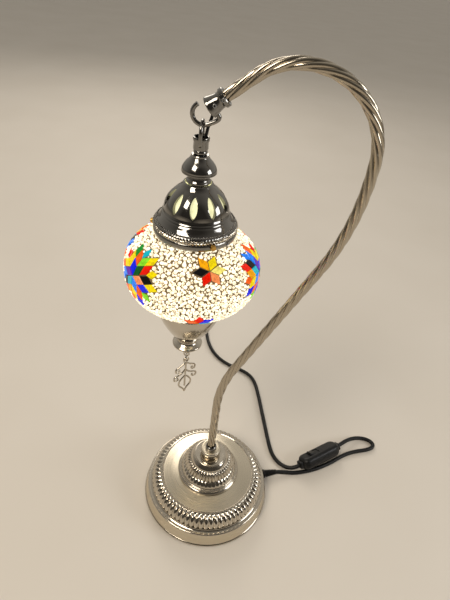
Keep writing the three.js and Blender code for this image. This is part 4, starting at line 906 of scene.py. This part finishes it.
bell_line = [(3.2, 425.4), (6.2, 425.4), (6.6, 424.9), (6.4, 424.1)]
bell_line += smooth_line([(6.6, 423.7), (8.0, 421.8), (10.6, 419.0), (12.6, 415.6), (12.9, 413.6)], 5)
bell_line += [(13.1, 413.2), (13.0, 412.5), (12.4, 412.2), (11.2, 411.5), (9.6, 410.5), (8.4, 410.4),
              (8.4, 411.4),
              (11.2, 413.4), (10, 417), (7.4, 420.4), (5.2, 423), (3.2, 424)]
stem_line = smooth_line([(3.2, 425.7), (4.5, 425.7), (5.2, 427.2), (4.5, 428.7), (3.2, 428.7)], 5)
neck_line = [(3.2, 405.1), (9.3, 405.1), (9.4, 405.9)]
neck_line += smooth_line([(9.2, 406.4), (8.3, 407.6), (7.9, 409)], 4)
neck_line += [(8.4, 409.5), (8.3, 410.1), (3.2, 410.1)]
for name, line, node in (("stem_ring_turning", stem_line, "stem_ring"),
                         ("bell_spinning", bell_line, "upper_bell"),
                         ("neck_turning", neck_line, "neck_ring")):
    part = finished(name, turned(line, 96, AXIS_X), mirror_nickel_painted_dark, "pendant")
    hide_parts(node)

outer_dome = [(10, 404.8), (11, 404.4), (11.4, 403.6), (12.6, 402.2)]
outer_dome += smooth_line([(13.3, 401.4), (16.1, 398.8), (19.4, 395.4), (22.1, 391.6), (24.2, 387.4),
                           (25.2, 383.4)], 5)
outer_dome += [(25.5, 383.0), (25.8, 382.2), (25.4, 381.6), (26.2, 381.0), (26.6, 380.2), (26.2, 379.6)]
outer_dome += smooth_line([(26.8, 379), (28.6, 376.4), (30.2, 374.6)], 3)
outer_dome += [(30.8, 374.2), (31.6, 373.8), (32.2, 372.6)]
outer_dome += smooth_line([(32.0, 372.2), (32.9, 371.0), (32.2, 369.6), (32.1, 369.2)], 3)
outer_dome += [(32.6, 368.8), (32.9, 367.8), (33, 365.6), (32.7, 364.4), (31.8, 364.2)]
inner_dome = [(31.4, 368), (30.6, 372), (28.6, 374.6), (25.6, 378.6), (23.6, 383.4), (20, 391),
              (14.6, 398), (10, 402.6)]
dome_shell = turned(outer_dome + inner_dome, 240, AXIS_X)
for vert in dome_shell.verts:
    x = vert.co.x - AXIS_X * MM
    z = vert.co.z / MM
    r = math.hypot(x, vert.co.y)
    spot = math.atan2(vert.co.y, x)
    if PETAL_ZONE[0] < z < PETAL_ZONE[1] and r / MM > 12.6 + (PETAL_ZONE[1] - z) * 0.55:
        leaf = abs(math.cos(WINDOWS * spot / 2))
        swell = math.sin(math.pi * (z - PETAL_ZONE[0]) / (PETAL_ZONE[1] - PETAL_ZONE[0]))
        grow = 1 + 0.9 * MM * swell * (leaf - 0.4) / r
    elif ROPE_ZONE[0] < z < ROPE_ZONE[1] and r > 31.6 * MM:
        grow = 1 + 0.55 * MM * math.cos(ROPE_TWISTS * spot + (z - 369) * 2.2) / r
    else:
        grow = 1
    vert.co.x = AXIS_X * MM + x * grow
    vert.co.y *= grow
dome_cover = finished("dome_spinning", dome_shell, mirror_nickel_painted_dark, "pendant", 50)

# The windows are pressed through with a pointed punch.
punches = bmesh.new()
for window in range(WINDOWS):
    around = 2 * math.pi * (window + 0.5) / WINDOWS
    place = Matrix.Translation((AXIS_X * MM, 0, WINDOW_Z * MM)) @ Matrix.Rotation(around, 4, "Z")
    outline = []
    for step in range(WINDOW_STEPS):
        turn = 2 * math.pi * step / WINDOW_STEPS
        narrow = math.copysign(abs(math.cos(turn)) ** 1.5, math.cos(turn))
        outline.append((WINDOW_HALF_W * narrow, WINDOW_HALF_H * math.sin(turn)))
    face = punches.faces.new([punches.verts.new(place @ (Vector((12, y, z)) * MM)) for y, z in outline])
    pushed(punches, bmesh.ops.extrude_face_region(punches, geom=[face]),
           place.to_3x3() @ Vector((16, 0, 0)))
bmesh.ops.recalc_face_normals(punches, faces=punches.faces)
punch_data = bpy.data.meshes.new("window_punches")
punches.to_mesh(punch_data)
punches.free()
punch = bpy.data.objects.new("window_punches", punch_data)
bpy.context.collection.objects.link(punch)
cut = dome_cover.modifiers.new("windows", "BOOLEAN")
cut.operation = "DIFFERENCE"
cut.solver = "EXACT"
cut.object = punch
bpy.context.view_layer.update()
pierced = bpy.data.meshes.new_from_object(dome_cover.evaluated_get(bpy.context.evaluated_depsgraph_get()))
dome_cover.modifiers.clear()
dome_cover.data = pierced
bpy.data.objects.remove(punch)
# The twisted band keeps the paler nickel, without the painted dark reflection on the rest of the dome.
second_finish(dome_cover, bright_nickel, lambda r, z: ROPE_ZONE[0] + 0.1 < z < ROPE_ZONE[1] - 0.1)
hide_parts("pierced_dome")
studs = bmesh.new()
bead_row(studs, 110, 30.5, 374.6, 0.62, AXIS_X)
finished("dome_bead_row", studs, mirror_nickel_painted_dark, "pendant")

# A thin frosted liner stands behind the windows, with a painted glow, cloudy in colour, for the bulb's
# light through it.
frosted_liner, tree, shader, coords = new_material("frosted_glass_liner", "#fff2d2", 0.5)
cloud = add_node(tree, "TexNoise", {"Vector": coords, "Scale": 1 / (4 * MM), "Detail": 2.0})
clouded(tree, cloud.outputs["Fac"], "#b9bd8c", "#f6eec2", shader.inputs["Base Color"],
        shader.inputs["Emission Color"])
shader.inputs["Emission Strength"].default_value = 1.1
liner_line = [(13.9, 399), (16.2, 395), (18.8, 390.6), (20.6, 386), (22, 382), (21.6, 382), (20, 386),
              (18.2, 390.4),
              (15.6, 394.6), (13.9, 397.6)]
finished("window_liner", turned(liner_line, 60, AXIS_X), frosted_liner, "pendant")

# Yellow brass screws, turned and left bright, with faint file marks.
raw_brass, tree, shader, coords = new_material("turned_brass", "#c39a50", 0.26, 1.0)
mottle(tree, shader, coords, "Roughness", 1.5, 0.18, 0.4)
carried(raw_brass, "globe_screw_1", "globe_screw_2", "globe_screw_3", "holder_contacts")

# ---- lamp holder and bulb ----------------------------------------------------------------------
# A white moulded holder hangs inside the dome, with its shade ring and a small frosted
# bulb on a zinc-plated cap. The cable ends in its brass contacts.

# Moulded polyamide, off-white and slightly waxy.
white_nylon, tree, shader, coords = new_material("moulded_polyamide", "#e8e3d6", 0.45)
mottle(tree, shader, coords, "Roughness", 6, 0.38, 0.55)
carried(white_nylon, "holder_body", "holder_ring", "switch_block", "cable_splice")
# Frosted soda glass, lit from within: an even warm white.
frosted_bulb, tree, shader, coords = new_material("frosted_bulb_glass", "#fff4dc", 0.5)
mottle(tree, shader, coords, "Roughness", 5, 0.42, 0.6)
shader.inputs["Emission Color"].default_value = paint("#ffe2ae")
shader.inputs["Emission Strength"].default_value = 6.0
carried(frosted_bulb, "bulb_glass")
carried(zinc_plate, "bulb_cap", "pendant_rod", "dome_nut", "clamp_bar")
carried(soft_pvc, "arm_cable", "pendant_cable", "inner_lead")

# ---- globe --------------------------------------------------------------------------------------
# A blown glass globe, covered by hand with cut coloured tiles and thousands of clear glass
# beads bedded in grout. Lit from inside, the beads glow warm white between dark joints.
GLOBE_A = 55.3
GLOBE_B = 34.9
GLOBE_POWER = 2.35
GLOBE_Z = 329.4
GLOBE_TOP = 31.8
GLOBE_LOW = -31.6
TILE_T = 0.8
TILE_EDGE = 0.45
TILE_CROWN = 0.3
globe_mid = Vector((AXIS_X, 0, GLOBE_Z))


def globe_share(height):
    """How wide the globe is at a height from its middle, as a share of its widest."""
    return (1 - (abs(height) / GLOBE_B) ** GLOBE_POWER) ** (1 / GLOBE_POWER)


def glass_at(direction, out=0.0):
    """The point where a direction from the globe's middle meets the glass, and the normal there."""
    r = math.hypot(direction.x, direction.y)
    size = ((r / GLOBE_A) ** GLOBE_POWER
            + (abs(direction.z) / GLOBE_B) ** GLOBE_POWER) ** (-1 / GLOBE_POWER)
    spot = direction * size
    r *= size
    rise = math.copysign((abs(spot.z) / GLOBE_B) ** (GLOBE_POWER - 1) / GLOBE_B, spot.z)
    wide = (r / GLOBE_A) ** (GLOBE_POWER - 1) / GLOBE_A / max(r, 0.001)
    normal = Vector((spot.x * wide, spot.y * wide, rise)).normalized()
    return globe_mid + spot + normal * out, normal


# Motifs of cut glass: where each stands, how it is turned, and its tiles' colours.
GLASS = {"black": "#0d0c0b", "yellow": "#ffe400", "amber": "#ffae00", "pale": "#fff08a", "peach": "#ff9a62",
         "red": "#f51a00", "orange": "#ff6200", "blue": "#0a22f0", "sky": "#1c86ff", "cyan": "#00bfd0",
         "green": "#009a2c", "lime": "#8de62c", "deep": "#005a1c", "purple": "#6422b8"}
small_tints = ["black", "amber", "yellow", "pale", "peach", "red"]
low_tints = ["orange", "black", "green", "cyan", "blue", "red"]
star_tints = [("peach", "black", "blue", "yellow"), ("deep", "lime", "red", "yellow"),
              ("blue", "yellow", "orange", "green"),
              ("purple", "sky", "yellow", "orange"), ("cyan", "amber", "black", "red"),
              ("sky", "orange", "yellow", "blue")]
star_fill = ["yellow", "cyan", "red", "sky", "orange", "lime"]
motifs = [("flower", -67.5, 24.5, 0, small_tints), ("flower", -76, -19, -15, low_tints),
          ("star", -139, 9, 0, 0), ("star", -9, 9, 21, 2), ("star", 106, 9, 8, 4), ("star", 50, 9, 14, 1),
          ("star", 166, 9, 5, 3), ("flower", 78, 26, 10, small_tints), ("flower", 28, -20, 20, low_tints),
          ("flower", 136, -20, 20, low_tints)]


def petal(angle):
    """One cut petal of a small flower."""
    turn = Matrix.Rotation(math.radians(angle), 2)
    return [turn @ Vector(corner) for corner in ((0.7, 0), (6.9, 3.4), (13.3, 0), (6.9, -3.4))]


def arm_tiles(angle):
    """The four tiles of one arm of a star, inner, upper, lower and tip, and the filler beside it."""
    turn = Matrix.Rotation(math.radians(angle), 2)
    one, two = Vector((7.2, 3.9)), Vector((7.2, -3.9))
    zero = Vector((0, 0))
    shapes = [(zero, one, two), (one, one, two), (two, one, two), (one + two, one, two)]
    tiles = [[turn @ (at + spot * 0.94 + (a + b) * 0.03) for spot in (zero, a, a + b, b)]
             for at, a, b in shapes]
    side = Matrix.Rotation(math.radians(angle + 30), 2)
    tiles.append([side @ Vector(corner) for corner in ((15.6, 0), (20.6, 3.1), (26.2, 0), (20.6, -3.1))])
    return tiles


tiles_shell = bmesh.new()
tint_layer = tiles_shell.loops.layers.float_color.new("tint")
placed_tiles = []
for kind, azimuth, height, turn, tints in motifs:
    around = math.radians(azimuth)
    flat_r = GLOBE_A * globe_share(height)
    centre, out_way = glass_at(Vector((flat_r * math.cos(around), flat_r * math.sin(around), height)))
    along = Vector((-math.sin(around), math.cos(around), 0))
    upward = out_way.cross(along)
    if kind == "flower":
        cuts = [(petal(turn + 60 * n + (180 if tints is small_tints else 165)),
                 tints[-n % 6 if tints is small_tints else n]) for n in range(6)]
    else:
        cuts = []
        for n in range(6):
            names = (*star_tints[(n + tints) % 6], star_fill[(n + tints) % 6])
            cuts += list(zip(arm_tiles(turn + 60 * n), names))
    for outline, tint in cuts:
        corners = []
        for spot in outline:
            corners.append(glass_at(centre + along * spot.x + upward * spot.y - globe_mid, 0.1)[0] * MM)
        foot = [tiles_shell.verts.new(corner) for corner in corners]
        top = tiles_shell.faces.new(foot)
        top.normal_update()
        if top.normal.dot(out_way) < 0:
            top.normal_flip()
        pulled = bmesh.ops.extrude_face_region(tiles_shell, geom=[top])
        pushed(tiles_shell, pulled, out_way * TILE_T)
        lid = [part for part in pulled["geom"] if isinstance(part, bmesh.types.BMFace)]
        inner = bmesh.ops.inset_region(tiles_shell, faces=lid, thickness=TILE_EDGE * MM,
                                       depth=TILE_CROWN * MM)
        touched = {face for vert in foot for face in vert.link_faces} | set(lid) | set(inner["faces"])
        for face in touched:
            for loop in face.loops:
                loop[tint_layer] = paint(GLASS[tint])
        placed_tiles.append((centre, out_way, along, upward, outline))
bmesh.ops.recalc_face_normals(tiles_shell, faces=tiles_shell.faces)

# Cut stained glass, glossy and clear, with the lit globe behind it: deep even colour, and a
# painted glow in the full tint for the light shining through, brighter and dimmer in faint streaks.
stained_glass, tree, shader, coords = new_material("cut_stained_glass", "#808080", 0.12)
tint_of = add_node(tree, "Attribute", attribute_name="tint")
glow_streaks = add_node(tree, "TexNoise", {"Vector": coords, "Scale": 1 / (3 * MM), "Detail": 3.0,
                                      "Distortion": 1.5})
lit = add_node(tree, "MapRange", {"Value": glow_streaks.outputs["Fac"], "From Min": 0.3, "From Max": 0.7,
                                  "To Min": 0.45, "To Max": 0.95})
body_tint = add_node(tree, "HueSaturation", {"Color": tint_of.outputs["Color"], "Saturation": 1.3,
                                             "Value": 0.3})
lit_tint = add_node(tree, "HueSaturation", {"Color": tint_of.outputs["Color"], "Saturation": 1.0,
                                            "Value": 1.0})
tree.links.new(body_tint.outputs["Color"], shader.inputs["Base Color"])
tree.links.new(lit_tint.outputs["Color"], shader.inputs["Emission Color"])
tree.links.new(lit.outputs["Result"], shader.inputs["Emission Strength"])
shader.inputs["Specular IOR Level"].default_value = 0.3
finished("cut_glass_tiles", tiles_shell, stained_glass, "pendant", 20)


MOTIF_REACH = 36


def clear_of_tiles(spot, size):
    """Tells whether a bead of a size would stand clear of every tile."""
    for centre, out_way, along, upward, outline in placed_tiles:
        ray = spot - globe_mid
        facing = ray.dot(out_way)
        if facing <= 0:
            continue
        offset = ray * ((centre - globe_mid).dot(out_way) / facing) - (centre - globe_mid)
        flat = Vector((offset.dot(along), offset.dot(upward)))
        if flat.length > MOTIF_REACH:
            continue
        inside = True
        ends = outline[1:] + outline[:1]
        turning = (outline[1] - outline[0]).cross(outline[2] - outline[1])
        for a, b in zip(outline, ends):
            edge = b - a
            if math.copysign(1, turning) * edge.cross(flat - a) / edge.length < -(size * 0.75 + 0.1):
                inside = False
                break
        if inside:
            return False
    return True


# Beads of five radii are thrown on in turn, the big ones first, wherever there is room.
BEAD_THROWS = ((2.0, 2600), (1.65, 9000), (1.3, 14000), (0.95, 16000), (0.65, 16000))
BEAD_PITCH = 0.84
CELL = 4.2
random.seed(11)
cells = {}
bead_spots = []
for size, throws in BEAD_THROWS:
    for _ in range(throws):
        around = random.uniform(0, 2 * math.pi)
        rise = random.uniform(-1, 1)
        flat_r = math.sqrt(1 - rise * rise)
        spot, normal = glass_at(Vector((flat_r * math.cos(around) * GLOBE_A,
                                        flat_r * math.sin(around) * GLOBE_A,
                                        rise * GLOBE_B)))
        if not GLOBE_LOW < spot.z - GLOBE_Z < GLOBE_TOP:
            continue
        key = tuple(int(value // CELL) for value in spot)
        near = (other for x in (-1, 0, 1) for y in (-1, 0, 1) for z in (-1, 0, 1)
                for other in cells.get((key[0] + x, key[1] + y, key[2] + z), ()))
        if any((spot - other).length < (size + other_size) * BEAD_PITCH for other, other_size in near):
            continue
        if clear_of_tiles(spot, size):
            cells.setdefault(key, []).append((spot, size))
            bead_spots.append((spot, normal, size))

bead = bmesh.new()
bmesh.ops.create_icosphere(bead, subdivisions=1, radius=1)
bead.verts.index_update()
bead_places = []
for spot, normal, size in bead_spots:
    turn = Vector((0, 0, 1)).rotation_difference(normal).to_matrix().to_4x4()
    spin = Matrix.Rotation(random.uniform(0, math.pi), 4, "Z")
    stretch = Matrix.Diagonal((size * random.uniform(0.9, 1.15) * MM,
                               size * random.uniform(0.85, 1.05) * MM,
                               (0.45 + size * 0.35) * MM, 1))
    bead_places.append(Matrix.Translation((spot + normal * 0.1) * MM) @ turn @ spin @ stretch)
beads = bmesh.new()
studded(beads, bead, bead_places)

# Clear soda-glass beads over a frosted lit globe, with a painted warm white glow for the bulb's
# light through them, brighter and whiter in some random patches, dimmer and creamier in others.
lit_beads, tree, shader, coords = new_material("lit_glass_beads", "#efe2c4", 0.16)
bead_glow_patches = add_node(tree, "TexNoise", {"Vector": coords, "Scale": 1 / (2.2 * MM), "Detail": 2.0})
bead_glow_tint = clouded(tree, bead_glow_patches.outputs["Fac"], "#d3bf96", "#fff8e4", shader.inputs["Emission Color"])
bead_glow_tint.color_ramp.elements[0].position = 0.3
bead_glow_tint.color_ramp.elements[1].position = 0.62
bead_glow = add_node(tree, "MapRange", {"Value": bead_glow_patches.outputs["Fac"], "From Min": 0.3, "From Max": 0.65,
                                        "To Min": 0.5, "To Max": 1.25})
tree.links.new(bead_glow.outputs["Result"], shader.inputs["Emission Strength"])
finished("glass_beads", beads, lit_beads, "pendant", 180)

# Cement grout between the beads, brownish grey, with a faint painted glow for the little light it lets
# through.
GLOBE_STEPS = 20
GLASS_T = 3
globe_line = []
for step in range(GLOBE_STEPS + 1):
    z = GLOBE_LOW + (GLOBE_TOP - GLOBE_LOW) * (step / GLOBE_STEPS)
    globe_line.append((GLOBE_A * globe_share(z), GLOBE_Z + z))
globe_line += [(29.2, 364.9), (29.2, 370.6), (30, 371.3), (29.2, 371.8), (26.8, 371.8), (26.8, 362)]
for step in range(GLOBE_STEPS, -1, -2):
    z = (GLOBE_LOW + (GLOBE_TOP - GLOBE_LOW) * (step / GLOBE_STEPS)) * 0.93
    globe_line.append((min((GLOBE_A - GLASS_T) * globe_share(z), 52), GLOBE_Z + z))
grout, tree, shader, coords = new_material("lit_cement_grout", "#6d5c47", 0.8)
crumb_tone_and_shade = grained(tree, shader, coords, 0.9, 0.12, 3.0)
# Its colour and glow follow the crumbs' height, darker in the pits: partly grain tone, partly painted
# shade.
clouded(tree, crumb_tone_and_shade, "#54442f", "#8f7b58", shader.inputs["Base Color"], shader.inputs["Emission Color"])
shader.inputs["Emission Strength"].default_value = 0.16
globe_piece = finished("globe_glass_and_grout", turned(globe_line, 120, AXIS_X), grout,
                       "pendant")
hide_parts("globe_glass")

# ---- bottom bowl, ring, boss and eye ------------------------------------------------------------------
# A spun bowl closes the globe's foot, drawn up by a bolt through its middle. A flared ring
# and a turned boss sit under it, and the bolt ends in an eye for the charm.
bowl_line = [(29.6, 296.4), (30.4, 296.4), (30.5, 295.2), (30.3, 293.6), (29.6, 293.0), (29.2, 292.2),
             (28.6, 291.4)]
bowl_line += smooth_line([(29.3, 290.6), (28.4, 285), (25.6, 276.6), (21, 267), (15.4, 258), (10.6, 252)],
                         4)
bowl_line += [(10, 250.7), (5, 250.7), (5, 251.8), (9, 253), (14.4, 258.8), (19.8, 267.6), (24.2, 276.8),
              (27, 285), (28.2, 291), (29.2, 294)]
bowl = turned(bowl_line, 144, AXIS_X)
bead_row(bowl, 84, 29.5, 291.8, 0.95, AXIS_X)
bowl_piece = finished("bowl_spinning", bowl, bright_nickel, "pendant")
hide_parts("bottom_bowl")
flare_line = [(5, 250.3), (8.6, 250.3), (9.2, 249.6)]
flare_line += smooth_line([(9, 249), (9.8, 247.2), (12.4, 245.3), (13.6, 244.4)], 4)
flare_line += [(13.9, 243.8), (13.8, 242.9), (13.2, 242.3), (12, 242.6), (10.6, 244.2), (8.6, 245.8),
               (5, 247)]
flare_piece = finished("foot_ring_turning", turned(flare_line, 96, AXIS_X), bright_nickel,
                       "pendant")
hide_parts("bottom_ring")
boss_line = smooth_line([(2.3, 246.4), (5.4, 246.3), (7.3, 243.6), (7.6, 240.6), (6, 237.4),
                         (4.2, 235.4)], 4)
boss_line += smooth_line([(4, 235), (4.6, 234), (4, 232.4), (3, 230.8), (2.3, 230.6)], 3)
boss_piece = finished("boss_turning", turned(boss_line, 60, AXIS_X), bright_nickel, "pendant")
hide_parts("bottom_boss")
carried(bright_nickel, "eye_bolt", "charm_ring")

# ---- charm --------------------------------------------------------------------------------------------
# A small openwork drop of bent and soldered wire hangs from the eye: a pointed palmette of
# paired scrolls round a middle stem, turned a little on its ring.
CHARM_WIRE = 1.8
CHARM_SPREAD = 1.12
CHARM_TURN = math.radians(35)
charm_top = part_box("charm")[1].z / MM


def charm_wire(name, points, closed=False):
    """One wire of the charm, its points given across and down from the charm's top."""
    across = Vector((math.cos(CHARM_TURN), math.sin(CHARM_TURN), 0)) * CHARM_SPREAD
    down = Vector((0, 0, -CHARM_SPREAD))
    spots = [Vector((AXIS_X, 0, charm_top)) + across * x + down * y for x, y in points]
    return wire(name, spots, CHARM_WIRE, bright_nickel, "charm", closed, 3)


LOOP_R = 2.4
eighths = [k * math.pi / 4 for k in range(8)]
charm_wire("charm_loop", [(LOOP_R * math.cos(k), 2.6 + LOOP_R * math.sin(k)) for k in eighths], True)
stem = charm_wire("charm_stem", [(0, 4.6), (0.2, 14), (-0.2, 24), (0, 36)])
scrolls = {
    "charm_upper_scroll": [(0, 6), (3, 9), (7.6, 10.4), (10.2, 13.6), (8.6, 17), (5.4, 16.2), (5.6, 13.4),
                           (7.4, 13.6)],
    "charm_middle_scroll": [(0, 14.6), (2.4, 18.4), (6.6, 20.6), (10.8, 21.6), (11.2, 25.6), (7.8, 26.8),
                            (6, 24.8),
                            (7.6, 23.4)],
    "charm_foot_leaf": [(0, 22.6), (3.6, 25.6), (6.8, 30.6), (5.2, 36.2), (1.6, 38.4), (0, 43.4)],
}
for side, side_name in ((-1, "left"), (1, "right")):
    for name, half in scrolls.items():
        charm_wire(f"{name}_{side_name}", [(side * x, y) for x, y in half])
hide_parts("charm")

# ---- floor, light and room -------------------------------------------------------------------------------
# A plain pale floor without an edge in view, one large soft lamp above the front left,
# weaker ones from the right and from behind, and a pale room for the metal to reflect.
floor_mesh = bmesh.new()
bmesh.ops.create_grid(floor_mesh, x_segments=1, y_segments=1, size=14)
floor_data = bpy.data.meshes.new("floor")
floor_mesh.to_mesh(floor_data)
floor_mesh.free()
floor = bpy.data.objects.new("floor", floor_data)
bpy.context.collection.objects.link(floor)
# Matt pale lacquer: almost even, with a faint cloud in it.
pale_floor, tree, shader, coords = new_material("pale_matt_floor", "#d6d0c6", 0.6)
cloud = add_node(tree, "TexNoise", {"Vector": coords, "Scale": 1 / (220 * MM), "Detail": 2.0})
clouded(tree, cloud.outputs["Fac"], "#d2cbc0", "#dcd6cd", shader.inputs["Base Color"])
floor_data.materials.append(pale_floor)
floor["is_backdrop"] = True


def soft_lamp(name, at, aim, size, watts, hex_colour):
    """A square soft box in metres, turned to look at a point."""
    lamp = bpy.data.objects.new(name, bpy.data.lights.new(name, "AREA"))
    bpy.context.collection.objects.link(lamp)
    lamp.data.size = size
    lamp.data.energy = watts
    lamp.data.color = paint(hex_colour)[:3]
    lamp.matrix_world = (Matrix.Translation(at)
                         @ (Vector(aim) - Vector(at)).to_track_quat("-Z", "Y").to_matrix().to_4x4())


soft_lamp("key_softbox", (-0.9, -1.1, 1.9), (0, 0, 0.2), 0.9, 26, "#fff3e2")
soft_lamp("side_softbox", (1.6, -0.3, 0.9), (0, 0, 0.25), 0.7, 9, "#ffffff")
soft_lamp("back_softbox", (-0.4, 1.6, 1.3), (0, 0, 0.25), 0.9, 10, "#fff6ea")
room = bpy.data.worlds.new("room")
bpy.context.scene.world = room
room.use_nodes = True
tree = room.node_tree
toward = add_node(tree, "SeparateXYZ", {"Vector": add_node(tree, "TexCoord").outputs["Generated"]})
depth = add_node(tree, "MapRange", {"Value": toward.outputs["Y"], "From Min": -0.7, "From Max": 0.6})
backdrop = tree.nodes["Background"]
clouded(tree, depth.outputs["Result"], "#5f5a53", "#efe8dc", backdrop.inputs["Color"])
backdrop.inputs["Strength"].default_value = 0.62
# The plain sRGB view keeps the lit glass as strongly coloured as its tints.
bpy.context.scene.view_settings.view_transform = "Standard"

size = {"cad": [list(corner) for corner in cad_box], "visual": [list(corner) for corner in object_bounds()]}
